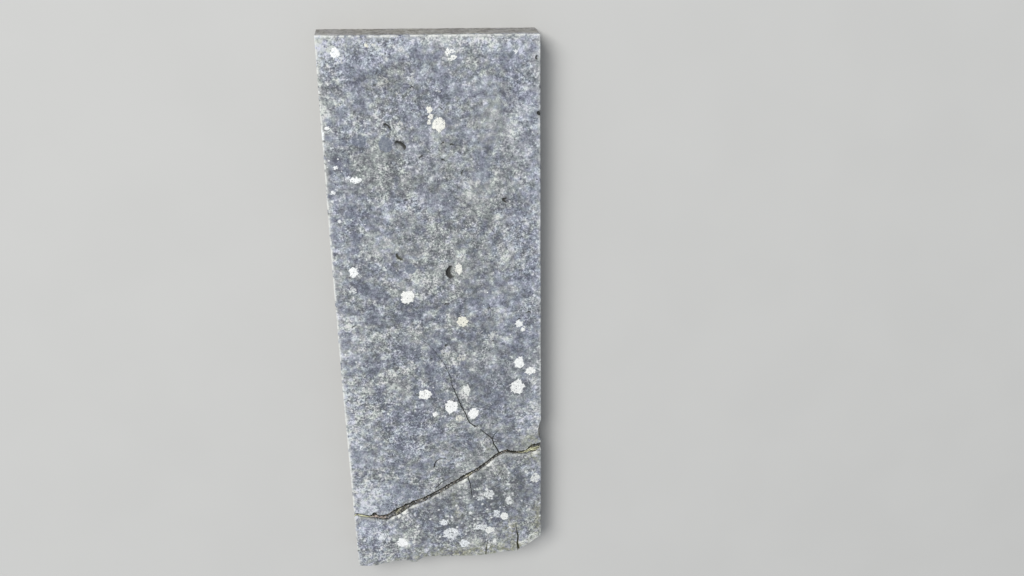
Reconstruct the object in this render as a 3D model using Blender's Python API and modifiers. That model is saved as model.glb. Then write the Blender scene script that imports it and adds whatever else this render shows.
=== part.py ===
# Grave slab: a bare ledger of grey fossil limestone, broken right across near its foot.
# Its two fragments lie together, parted by the open break, and the underside is cut flat at the ground.
# Metres, +Z up, +Y to the head end. The origin is at the middle of the underside.
# Run with blender --background --python part.py, or from Blender's text editor.
import math

import bmesh
import bpy
import numpy as np
from mathutils import Matrix, Vector, noise

# The slab
slab_width = 0.61
slab_length = 1.73
slab_thickness = 0.10
side_bow = 0.005  # the left side's swelling, from its ends to its middle
head_fall = 0.015  # the head end is out of square: its right corner lies this far back
face_swell = 0.0012  # height of the slow rise and fall of the walked face
side_wear = 0.0015  # depth of the dips along the head end and the sides
worn_edge = 0.007  # rounding of the top edges and of the upright corners
crumbled_edge = 0.0025  # the same rounding where it is least

# The break between the fragments
break_distance = 0.30  # foot end to the break, at mid width
break_opening = 0.014  # clear width of the break, for most of its length
break_roughness = 0.005  # how far the broken faces wander with depth

# The foot end
foot_bite = 0.022  # the deepest bite out of the foot end's line
foot_roughness = 0.004
lost_corner_width = 0.078
lost_corner_length = 0.054

# Cracks, hollows and chips
crack_width = 0.005  # at the face, for a full-sized crack
crack_depth = 0.014
hollow_size = 0.036  # the longest fossil hollow
edge_chip_size = 0.030  # the longest chip out of a top edge
lip_chip_size = 0.080  # the longest chip along a lip of the break
side_chip_length = 0.094  # the long chip out of the right side, above the break
side_chip_width = 0.048
side_chip_depth = 0.045

# How finely the forms are divided
face_cell = 0.042  # the face's squares
broken_cell = 0.012  # the steps along a broken face
broken_levels = 6  # the rows down a broken face
spare = 0.02  # how far a cutter reaches past what it cuts

# The break's course: its place across and its height above the mid-width level, both as shares of the width
break_course = [
    (0.00, -0.143), (0.05, -0.161), (0.12, -0.180), (0.18, -0.184), (0.22, -0.159), (0.32, -0.108),
    (0.39, -0.085), (0.48, -0.036), (0.58, 0.021), (0.68, 0.079), (0.765, 0.151), (0.81, 0.170),
    (0.86, 0.156), (0.915, 0.156), (0.945, 0.172), (1.00, 0.198),
]
# How wide the break lies open: its place across, and the share of the full opening
break_widths = [
    (0.00, 0.6), (0.12, 0.8), (0.18, 1.5), (0.23, 1.7), (0.30, 1.2), (0.75, 0.9), (0.88, 0.7), (1.00, 1.2),
]

# The foot end's ragged line: its place across, and how far it stands back as a share of the deepest bite
foot_course = [
    (0.0, 0.45), (0.05, 0.05), (0.11, 0.05), (0.15, 0.32), (0.21, 0.6), (0.27, 0.6), (0.295, 0.05),
    (0.32, 0.0), (0.34, 0.6), (0.37, 1.0), (0.46, 0.68), (0.62, 0.36), (0.70, 0.32), (0.80, 0.6),
    (0.88, 0.55), (1.0, 0.55),
]

# Cracks: where each is measured from, its size against a full one at each end, and its points: the place
# across and the distance towards the head from the break's level or the foot end, as shares of the width
cracks = {
    "hairline_crack": ("break", 1.0, 0.35, [
        (0.779, 0.154), (0.751, 0.225), (0.743, 0.254), (0.685, 0.311), (0.625, 0.367), (0.610, 0.416),
        (0.569, 0.525), (0.544, 0.621), (0.495, 0.738), (0.423, 0.834), (0.369, 0.874), (0.270, 0.939),
    ]),
    "upper_branch": ("break", 0.7, 0.3, [(0.742, 0.259), (0.762, 0.289), (0.784, 0.307)]),
    "lower_branch": ("break", 0.7, 0.3, [(0.744, 0.249), (0.779, 0.241), (0.807, 0.251)]),
    "splinter_crack": ("break", 0.8, 0.3, [(0.430, -0.036), (0.455, -0.011), (0.480, 0.010), (0.510, 0.030)]),
    "short_crack": ("break", 0.8, 0.3, [(0.609, 0.043), (0.620, -0.010), (0.628, -0.087)]),
    "foot_crack": ("foot", 1.3, 0.6, [(0.876, 0.000), (0.874, 0.082), (0.868, 0.134), (0.862, 0.189)]),
    "fine_foot_crack": ("foot", 0.8, 0.4, [(0.694, -0.007), (0.702, 0.066), (0.708, 0.115)]),
    "shell_groove": ("break", 0.8, 0.5, [(0.440, 0.095), (0.447, 0.121), (0.466, 0.141), (0.492, 0.144)]),
}

# Fossil hollows in the face: the place as shares of the width and of the length from the foot, then the
# hollow's length, width and depth as shares of the longest one, and its turn in degrees
hollows = [
    (0.300, 0.851, 0.83, 0.33, 0.14, -48), (0.352, 0.821, 1.00, 0.50, 0.25, -42),
    (0.567, 0.597, 1.00, 0.72, 0.22, 70), (0.321, 0.629, 0.78, 0.39, 0.11, -50),
    (0.838, 0.719, 0.72, 0.39, 0.11, -20), (0.548, 0.821, 0.33, 0.22, 0.08, 0),
    (0.589, 0.818, 0.33, 0.22, 0.08, 30), (0.446, 0.799, 0.39, 0.22, 0.08, -40),
    (0.548, 0.792, 0.39, 0.25, 0.08, 20), (0.531, 0.457, 0.39, 0.28, 0.08, 0),
    (0.448, 0.432, 0.33, 0.25, 0.08, 60), (0.536, 0.536, 0.39, 0.25, 0.08, 10),
    (0.743, 0.524, 0.33, 0.22, 0.08, 40), (0.938, 0.512, 0.39, 0.28, 0.11, 0),
]
# Chips out of the top edges, given in the same way
edge_chips = [
    (0.985, 0.954, 0.47, 0.40, 0.20, 0), (1.003, 0.865, 0.67, 0.53, 0.40, 0),
    (0.184, 1.000, 0.67, 0.60, 0.33, 0), (0.000, 0.700, 1.00, 0.27, 0.20, 90),
    (0.000, 0.430, 0.73, 0.33, 0.20, 90), (0.620, 1.000, 1.00, 0.27, 0.20, 0),
]
# Chips along the lips of the break: the place across, then the sizes as shares of the longest chip
head_lip_chips = [(0.110, 0.42, 0.22, 0.15), (0.950, 0.38, 0.15, 0.08)]
foot_lip_chips = [
    (0.240, 0.75, 0.22, 0.09), (0.350, 0.87, 0.16, 0.06), (0.470, 1.00, 0.15, 0.06),
    (0.600, 0.87, 0.17, 0.07), (0.710, 0.62, 0.15, 0.06), (0.970, 0.75, 0.35, 0.17),
]
# The side chip's middle: the place across, past the right side, and the height above the break's level
side_chip_place = (1.022, 0.282)
side_chip_turn = 88

piece_collection = "grave_slab"
cutter_collection = "cutters"

foot_end = -slab_length / 2
break_level = foot_end + break_distance


def ripple(x, y, z, seed, lump):
    """Smooth rough noise from about -1 to 1, with lumps of about the given share of the width."""
    place = Vector((x, y, z)) / (lump * slab_width)
    return noise.fractal(place + Vector((seed, seed, seed)), 0.7, 2.0, 3)


def x_at(share):
    return slab_width * (share - 0.5)


def along(course, x):
    """The value of a course at a place across the slab."""
    shares, values = zip(*course)
    return float(np.interp(x / slab_width + 0.5, shares, values))


def face_point(across, lengthwise):
    """The point of the slab's top at two shares, from the left and from the foot, each 0 to 1."""
    dip_left = side_wear * max(0.0, ripple(0, lengthwise * slab_length, 0, 3, 0.4))
    dip_right = side_wear * max(0.0, ripple(0, lengthwise * slab_length, 0, 9, 0.5))
    left = -slab_width / 2 + side_bow * (1 - math.sin(math.pi * lengthwise)) + dip_left
    right = slab_width / 2 - dip_right
    x = left + (right - left) * across
    dip_head = side_wear * max(0.0, ripple(across * slab_width, 0, 0, 5, 0.2))
    y = foot_end + (slab_length - head_fall * across - dip_head) * lengthwise
    return Vector((x, y, face_height(x, y)))


def face_height(x, y):
    """The level of the worn face: it only dips below the full thickness."""
    return slab_thickness - face_swell * (0.5 - 0.5 * ripple(x, y, 0, 1, 0.6))


def break_line(x, z):
    """The break's middle line. Both faces take it, so that they match as broken faces do."""
    depth = slab_thickness - z
    fine = 0.25 * break_roughness * ripple(x, 0, z, 2, 0.035)
    coarse = break_roughness * min(1.0, depth / (0.3 * slab_thickness)) * ripple(x, 0, z, 6, 0.2)
    return break_level + slab_width * along(break_course, x) + fine + coarse


def head_lip(x, z):
    """The head piece's broken face, half the opening above the break's middle line."""
    return break_line(x, z) + break_opening / 2 * along(break_widths, x)


def foot_lip(x, z):
    """The foot piece's broken face, half the opening below the break's middle line."""
    return break_line(x, z) - break_opening / 2 * along(break_widths, x)


def foot_line(x, z):
    """The foot end's ragged line, standing back from the slab's full length."""
    rough = foot_roughness * max(0.0, ripple(x, 0, z, 4, 0.08))
    return foot_end + foot_bite * along(foot_course, x) + rough


def corner_line(x, z):
    """The broken line across the lost corner, rising to the right side."""
    reach = (x - slab_width / 2 + lost_corner_width) / lost_corner_width
    rise = lost_corner_length * math.copysign(abs(reach) ** 0.85, reach)
    rough = foot_roughness * ripple(x, 0, z, 7, 0.05)
    return foot_end + foot_bite * along(foot_course, x_at(1.0)) + rise + rough


def link(obj, collection_name):
    """Puts an object in a collection of the scene, made when it is first needed."""
    collection = bpy.data.collections.get(collection_name)
    if collection is None:
        collection = bpy.data.collections.new(collection_name)
        bpy.context.scene.collection.children.link(collection)
    collection.objects.link(obj)
    return obj


def as_object(bm, name, collection_name):
    mesh = bpy.data.meshes.new(name)
    bm.to_mesh(mesh)
    bm.free()
    return link(bpy.data.objects.new(name, mesh), collection_name)


def as_cutter(obj):
    obj.display_type = "WIRE"
    obj.hide_render = True
    return obj


def stone(name, colour, roughness):
    material = bpy.data.materials.new(name)
    material.use_nodes = True
    shader = material.node_tree.nodes["Principled BSDF"]
    shader.inputs["Base Color"].default_value = (*colour, 1.0)
    shader.inputs["Roughness"].default_value = roughness
    shader.inputs["Metallic"].default_value = 0.0
    return material


def whole_slab(name):
    """The unbroken slab: a grid shaped to the worn face, extruded down to its flat underside."""
    bm = bmesh.new()
    columns = max(4, round(slab_width / face_cell))
    rows = 2 * max(4, round(slab_length / face_cell / 2))
    bmesh.ops.create_grid(bm, x_segments=columns, y_segments=rows, size=0.5)
    face = list(bm.faces)
    grown = bmesh.ops.extrude_face_region(bm, geom=face)["geom"]
    underside = {v for v in grown if isinstance(v, bmesh.types.BMVert)}
    for vert in bm.verts:
        vert.co = face_point(vert.co.x + 0.5, vert.co.y + 0.5)
        if vert in underside:
            vert.co.z = 0.0
    bmesh.ops.recalc_face_normals(bm, faces=bm.faces)

    # The rounding of the edges is a share of worn_edge, written as a bevel weight
    weights = bm.edges.layers.float.new("bevel_weight_edge")
    least = min(1.0, crumbled_edge / worn_edge)
    for edge in bm.edges:
        turn = edge.calc_face_angle(0.0)
        low_ends = sum(v in underside for v in edge.verts)
        if turn < math.radians(40) or low_ends == 2:
            continue
        middle = (edge.verts[0].co + edge.verts[1].co) / 2
        wear = 0.5 + 0.5 * ripple(*middle, 8, 0.25)
        edge[weights] = min(1.0, max(least, wear))

    flat = [face for face in bm.faces if all(v in underside for v in face.verts)]
    bmesh.ops.dissolve_faces(bm, faces=flat)
    return as_object(bm, name, piece_collection)


def broken_block(name, line, side, low_x=-slab_width / 2 - spare):
    """A cutter whose near wall is a broken face: all that lies past the line, to one side in Y."""
    bm = bmesh.new()
    high_x = slab_width / 2 + spare
    steps = max(3, math.ceil((high_x - low_x) / broken_cell))
    bmesh.ops.create_grid(bm, x_segments=steps, y_segments=broken_levels, size=0.5)
    near = list(bm.faces)
    grown = bmesh.ops.extrude_face_region(bm, geom=near)["geom"]
    far = {v for v in grown if isinstance(v, bmesh.types.BMVert)}
    beyond = side * (slab_length + spare)
    height = slab_thickness + 2 * spare
    for vert in bm.verts:
        x = low_x + (high_x - low_x) * (vert.co.x + 0.5)
        z = height * (vert.co.y + 0.5) - spare
        vert.co = Vector((x, beyond if vert in far else line(x, z), z))
    bmesh.ops.recalc_face_normals(bm, faces=bm.faces)
    bmesh.ops.triangulate(bm, faces=bm.faces)
    return as_cutter(as_object(bm, name, cutter_collection))


def dent(bm, x, y, z, length, width, depth, turn):
    """Adds one rounded hollow to a cutter's mesh, half sunk in the face."""
    size = Matrix.Diagonal((length / 2, width / 2, depth, 1.0))
    place = Matrix.Translation((x, y, z)) @ Matrix.Rotation(math.radians(turn), 4, "Z") @ size
    bmesh.ops.create_icosphere(bm, subdivisions=2, radius=1.0, matrix=place)


def dent_cutter(name, places):
    """Hollows and chips, as one cutter of separate rounded bodies."""
    bm = bmesh.new()
    for x, y, *sizes in places:
        dent(bm, x, y, face_height(x, y), *sizes)
    return as_cutter(as_object(bm, name, cutter_collection))


def face_places(dents, longest):
    """Where hollows or chips lie on the face, with their real sizes and their turns."""
    return [
        (x_at(share), foot_end + run * slab_length, *(size * longest for size in sizes), turn)
        for share, run, *sizes, turn in dents
    ]


def lip_places(chips, lip):
    """Where chips lie along one lip of the break, each turned to run along it."""
    places = []
    for share, *sizes in chips:
        x = x_at(share)
        y = lip(x, slab_thickness)
        rise = lip(x + broken_cell, slab_thickness) - y
        turn = math.degrees(math.atan2(rise, broken_cell))
        places.append((x, y, *(size * lip_chip_size for size in sizes), turn))
    return places


def crack_cutter(name, start, first, last, points):
    """A crack: a tapering four-sided tube laid along the face, made a mesh so that it can cut."""
    level = break_level if start == "break" else foot_end
    curve = bpy.data.curves.new(name, "CURVE")
    curve.dimensions = "3D"
    curve.bevel_depth = crack_width / 2
    curve.bevel_resolution = 0
    curve.use_fill_caps = True
    spline = curve.splines.new("POLY")
    spline.points.add(len(points) - 1)
    for number, (share, rise) in enumerate(points):
        x, y = x_at(share), level + rise * slab_width
        spline.points[number].co = (x, y, 0.0, 1.0)
        spline.points[number].radius = first + (last - first) * number / (len(points) - 1)
    tube = link(bpy.data.objects.new(name + "_curve", curve), cutter_collection)
    bpy.context.view_layer.update()

    mesh = bpy.data.meshes.new_from_object(tube.evaluated_get(bpy.context.evaluated_depsgraph_get()))
    mesh.name = name
    bm = bmesh.new()
    bm.from_mesh(mesh)
    bmesh.ops.remove_doubles(bm, verts=bm.verts, dist=0.00001)
    steeper = crack_depth / (crack_width / 2)
    for vert in bm.verts:
        vert.co.z = vert.co.z * steeper + face_height(vert.co.x, vert.co.y)
    bmesh.ops.recalc_face_normals(bm, faces=bm.faces)
    bm.to_mesh(mesh)
    bm.free()
    cutter = link(bpy.data.objects.new(name, mesh), cutter_collection)
    cutter.matrix_world = tube.matrix_world
    bpy.data.objects.remove(tube)
    return as_cutter(cutter)


def cut(piece, cutter):
    boolean = piece.modifiers.new("cut " + cutter.name, "BOOLEAN")
    boolean.operation = "DIFFERENCE"
    boolean.solver = "EXACT"
    boolean.object = cutter


def fragment(name, material, cutters):
    """One fragment: the whole slab with its edges worn, less what each cutter takes."""
    piece = whole_slab(name)
    piece.data.materials.append(material)
    wear = piece.modifiers.new("worn edges", "BEVEL")
    wear.limit_method = "WEIGHT"
    wear.width = worn_edge
    wear.segments = 2
    piece.modifiers.new("flat facets", "TRIANGULATE")
    for cutter in cutters:
        cut(piece, cutter)
    return piece


def main():
    for obj in list(bpy.data.objects):
        bpy.data.objects.remove(obj)

    headward = broken_block("headward_of_break", foot_lip, 1)
    footward = broken_block("footward_of_break", head_lip, -1)
    past_foot = broken_block("past_foot_end", foot_line, -1)
    corner = broken_block("lost_corner", corner_line, -1, slab_width / 2 - lost_corner_width)

    across, rise = side_chip_place
    side_chip_sizes = (side_chip_length, side_chip_width, side_chip_depth)
    side_chip = (x_at(across), break_level + rise * slab_width, *side_chip_sizes, side_chip_turn)
    places = face_places(hollows, hollow_size) + face_places(edge_chips, edge_chip_size)
    places += [side_chip, *lip_places(head_lip_chips, head_lip)]
    head_dents = dent_cutter("head_hollows_and_chips", places)
    foot_dents = dent_cutter("foot_chips", lip_places(foot_lip_chips, foot_lip))

    grooves = {name: crack_cutter(name, *course) for name, course in cracks.items()}
    in_foot = ("short_crack", "foot_crack", "fine_foot_crack")
    head_grooves = [groove for name, groove in grooves.items() if name not in in_foot]
    foot_grooves = [grooves[name] for name in in_foot]

    head_stone = stone("blue_grey_limestone", (0.32, 0.34, 0.375), 0.8)
    foot_stone = stone("pale_lichened_limestone", (0.34, 0.365, 0.385), 0.82)
    fragment("head_piece", head_stone, [footward, head_dents, *head_grooves])
    fragment("foot_piece", foot_stone, [headward, past_foot, corner, foot_dents, *foot_grooves])


main()
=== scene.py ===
import math
import random

import bpy
import numpy as np
from mathutils import Euler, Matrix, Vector, noise
from mathutils.bvhtree import BVHTree


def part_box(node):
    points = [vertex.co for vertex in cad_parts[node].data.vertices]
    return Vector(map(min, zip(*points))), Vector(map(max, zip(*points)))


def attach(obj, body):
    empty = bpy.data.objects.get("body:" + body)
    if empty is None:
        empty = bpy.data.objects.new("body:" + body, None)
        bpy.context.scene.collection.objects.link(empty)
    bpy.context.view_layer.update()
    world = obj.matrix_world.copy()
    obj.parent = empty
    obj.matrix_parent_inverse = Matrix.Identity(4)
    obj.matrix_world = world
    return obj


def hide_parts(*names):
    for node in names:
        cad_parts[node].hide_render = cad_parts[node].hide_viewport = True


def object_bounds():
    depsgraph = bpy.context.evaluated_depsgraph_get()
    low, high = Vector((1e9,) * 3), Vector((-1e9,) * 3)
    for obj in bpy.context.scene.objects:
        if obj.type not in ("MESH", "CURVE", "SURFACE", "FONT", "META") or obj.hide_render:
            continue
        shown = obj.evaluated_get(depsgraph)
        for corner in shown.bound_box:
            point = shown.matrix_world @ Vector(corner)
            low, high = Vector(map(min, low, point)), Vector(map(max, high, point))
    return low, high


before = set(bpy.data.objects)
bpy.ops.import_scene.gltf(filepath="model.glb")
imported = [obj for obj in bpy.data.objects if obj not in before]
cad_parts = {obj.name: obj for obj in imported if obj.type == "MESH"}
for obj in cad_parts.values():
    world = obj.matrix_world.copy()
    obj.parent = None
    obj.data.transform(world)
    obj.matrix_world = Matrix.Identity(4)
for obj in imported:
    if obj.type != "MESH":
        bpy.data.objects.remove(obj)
boxLow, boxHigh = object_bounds()  # the solids' own box
slabWidth = round(boxHigh.x - boxLow.x, 3)
slabLength = round(boxHigh.y - boxLow.y, 3)
slabThickness = round(boxHigh.z, 3)
mm = 0.001

# The photo's view, which also gives the places of what grows on the stone
photoView = {
    "place": Vector((-0.1203, 1.3920, 3.0039)),
    "turn": (-23.669, -6.936, -0.687),  # degrees about X, Y and Z
    "focal": 1074.84,  # in pixels of the photo
    "columns": 1024,
    "rows": 576,
    "sensor": 36.0,  # mm
    "breakColumns": (353, 387, 500, 541),  # the break's line in the photo
    "breakRows": (514, 517, 453, 445),
}
viewTurn = Euler([math.radians(angle) for angle in photoView["turn"]]).to_matrix()


def onFace(column, row):  # the point of the slab's top under a pixel of the photo
    right = column - photoView["columns"] / 2
    up = photoView["rows"] / 2 - row
    ray = viewTurn @ Vector((right, up, -photoView["focal"]))
    return photoView["place"] + ray * ((slabThickness - photoView["place"].z) / ray.z)


def breakX(column):  # the x of the break under a column of the photo
    return onFace(column, np.interp(column, photoView["breakColumns"], photoView["breakRows"])).x


def pixelSize(column, row, wide, tall):  # a size in pixels, as metres on the slab's top
    across = onFace(column + wide / 2, row) - onFace(column - wide / 2, row)
    along = onFace(column, row - tall / 2) - onFace(column, row + tall / 2)
    return across.length, along.length


# The stone: the worn face and its small relief
stoneFace = {
    "swell": 1.2 * mm,  # the slow rise and fall of the walked face
    "rest": 0.9 * mm,  # how far the bare stone lies under the solid's top, as room for what grows on it
    "lumps": [(0.060, 0.22 * mm), (0.022, 0.20 * mm), (0.009, 0.16 * mm)],  # size of the lumps, and height
    "edgeRows": [0.8 * mm, 1.8 * mm, 3.2 * mm, 5.0 * mm, 7.2 * mm, 10.0 * mm],  # rows of cells along an edge
    "arrisDepth": 0.6 * mm,  # where the top ends and the walls begin
    "underArris": 9 * mm,  # where the walls are clear of the worn arris and most chips
    "chipDepth": 10 * mm,  # where a chip of the edge runs out down the wall
    "wallDepths": [1.6 * mm, 3 * mm, 5 * mm, 8 * mm, 12 * mm, 18 * mm, 27 * mm, 40 * mm, 56 * mm, 76 * mm],
    "inset": 16 * mm,  # where the rays that find the walls aim
    "facing": 0.5,  # how squarely a wall has to face the ray that looks for a fragment's end
    "samples": 406,  # places along each end
    "crust": (0.55 * mm, 0.12 * mm),  # how high the lichens stand, and how rough they are
    "edgeWear": (0.5 * mm, 2.5 * mm),  # how deep and how far in the edges are worn
    "finer": {"hollow": 0.3 * mm, "crust": 3 * mm, "lip": 7 * mm},  # where the cells are halved
    "mossReach": 7 * mm,  # along the break
    "smoothAngle": 50,
}

# The two fragments: how finely each is divided, and how rough its walls are on each side
headPiece = {
    "node": "head_piece",
    "slot": "head_stone",
    "cell": 4.1 * mm,
    "nibble": {"left": 0.5 * mm, "right": 0.5 * mm, "near": 2.4 * mm, "far": 0.5 * mm},
    "wallRough": {"left": 0.9 * mm, "right": 0.9 * mm, "near": 1.6 * mm, "far": 0.9 * mm},
    "brokenSides": ("near",),
    # how dark the head piece's broken wall is painted, as shade
    "breakWallShade": 0.75,
    "lipSide": "near",
    "lipChips": [(375.5, 5, 3.0), (388.0, 5, 2.4), (396.0, 7, 4.6), (404.5, 6, 4.2), (413.0, 6, 2.0),
                 (429.0, 8, 2.6), (448.0, 9, 2.8), (465.0, 10, 3.6), (481.0, 9, 3.2), (510.0, 11, 2.8),
                 (533.0, 8, 3.0)],
    # pale worn edges, paler on the left and at the head end where they face the light: painted highlight
    "arrisWearAndHighlight": {"left": 1.0, "right": 0.55, "near": 0.25, "far": 0.9},
    "arrisReach": 4 * mm,
    "tones": {"level": 0.448, "contrast": 1.10, "greener": 0.8},
    "seed": 21,
}
footPiece = {
    "node": "foot_piece",
    "slot": "foot_stone",
    "cell": 3.0 * mm,
    "nibble": {"left": 0.6 * mm, "right": 0.6 * mm, "near": 1.6 * mm, "far": 1.8 * mm},
    "wallRough": {"left": 0.9 * mm, "right": 0.9 * mm, "near": 1.8 * mm, "far": 1.6 * mm},
    "brokenSides": ("near", "far"),
    "lipSide": "far",
    "lipChips": [(358.0, 7, 2.2), (376.0, 8, 2.8), (395.0, 7, 2.4), (404.0, 6, 2.2), (421.0, 8, 1.6),
                 (444.0, 9, 2.6), (471.0, 9, 2.8), (492.0, 9, 2.6), (513.0, 11, 2.8), (531.0, 5, 3.4)],
    # pale worn edges, paler on the left where they face the light: painted highlight
    "arrisWearAndHighlight": {"left": 0.8, "right": 0.35, "near": 0.3, "far": 0.0},
    "arrisReach": 4 * mm,
    "lipReach": 5 * mm,
    "tones": {"level": 0.400, "contrast": 1.29, "greener": 0.9},
    "seed": 43,
}

# Cracks: their points in the photo's pixels, then width and depth at each end in mm
crackPaths = {
    "lowerHairline": ([(499.3, 453.5), (497.6, 450.3), (493.6, 443.6), (492.2, 438.9), (486.9, 434.9),
                       (480.6, 430.0)], 4.4, 2.6, 8.0, 4.6),
    "hairline": ([(477.6, 426.2), (473.6, 425.9), (470.0, 423.4), (467.2, 418.5), (465.5, 413.5),
                  (460.8, 405.5), (456.7, 395.4), (452.7, 386.7), (451.2, 379.0), (446.4, 367.6),
                  (440.7, 359.0), (433.0, 349.4), (425.4, 342.7), (413.9, 336.0), (402.4, 331.2),
                  (392.9, 325.5)], 3.8, 1.3, 6.6, 0.9),
    "upperBranch": ([(492.5, 438.5), (495.8, 433.5), (499.6, 429.6)], 3.2, 1.8, 5.0, 3.6),
    "lowerBranch": ([(492.2, 439.0), (498.9, 440.6), (504.3, 438.9)], 3.2, 2.0, 5.0, 4.0),
    "splinter": ([(435.9, 488.4), (441.5, 483.0), (448.3, 479.6), (455.0, 475.5)], 4.6, 1.8, 6.5, 3.6),
    "shortCrack": ([(468.1, 477.9), (470.4, 484.0), (471.8, 495.8)], 3.6, 2.4, 5.5, 4.4),
    "footCrack": ([(518.8, 550.0), (517.5, 543.0), (518.3, 537.0), (517.0, 531.0), (516.0, 525.0)],
                  9.5, 2.2, 11.0, 3.0),
    "fineFootCrack": ([(486.0, 554.0), (487.0, 546.0), (488.0, 540.0)], 4.6, 2.4, 6.0, 3.0),
    "shellGroove": ([(434.3, 467.6), (434.9, 464.4), (436.4, 461.6), (438.8, 459.8), (441.8, 459.0),
                     (445.4, 459.2), (448.4, 460.8)], 4.8, 2.8, 6.5, 4.2),
    "shellEcho": ([(446.0, 467.5), (448.5, 463.0), (449.5, 459.5)], 2.0, 1.4, 1.2, 0.8),
    "lichenScar": ([(424.3, 391.5), (424.8, 394.5), (423.8, 397.8)], 3.4, 2.4, 1.8, 1.2),
}

# Fossil hollows: place in the photo's pixels, length, width and depth in mm, turn in degrees, then the
# direction of the steep dark side
hollowPlaces = [
    (387, 127, 30, 13, 5, -48, 45), (400.3, 146, 40, 22, 9, -40, 48), (451.6, 272.2, 43, 36, 9, 72, 190),
    (399.5, 257, 30, 16, 4.5, -50, 220), (506.7, 200.8, 30, 15, 5, -25, 170),
    (443, 144, 14, 8, 3, 60, 90), (452, 145.6, 14, 9, 3, 0, 90), (421, 158, 19, 8, 3, 50, 120),
    (443.5, 161, 15, 9, 3, -40, 90), (447.3, 346.5, 16, 10, 3.2, -30, 120),
    (431, 360, 14, 9, 2.8, 60, 90), (446.8, 305, 15, 10, 3.6, 0, 90), (489, 309, 12, 9, 3.4, 20, 90),
    (528.7, 313, 15, 12, 3.6, 0, 90), (375.8, 513.6, 24, 9, 6.5, 4, 100), (374.5, 86, 11, 8, 2.6, 0, 90),
    (411.5, 88, 12, 7, 3.2, 20, 90), (476, 427, 17, 6, 3, -20, 180), (353, 328, 11, 7, 2.6, 30, 90),
    (441, 109, 20, 6, 2.6, -45, 60), (537.5, 57.6, 14, 12, 4.5, 0, 180), (540, 113, 18, 14, 6.5, 0, 200),
    (399, 203, 11, 8, 2.8, 0, 90), (406.5, 201, 10, 7, 3, 0, 90), (493, 341.5, 12, 7, 2.6, 0, 90),
    (519, 320, 12, 9, 2.8, 40, 90), (463, 172, 19, 8, 2.4, 60, 160),
]

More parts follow.
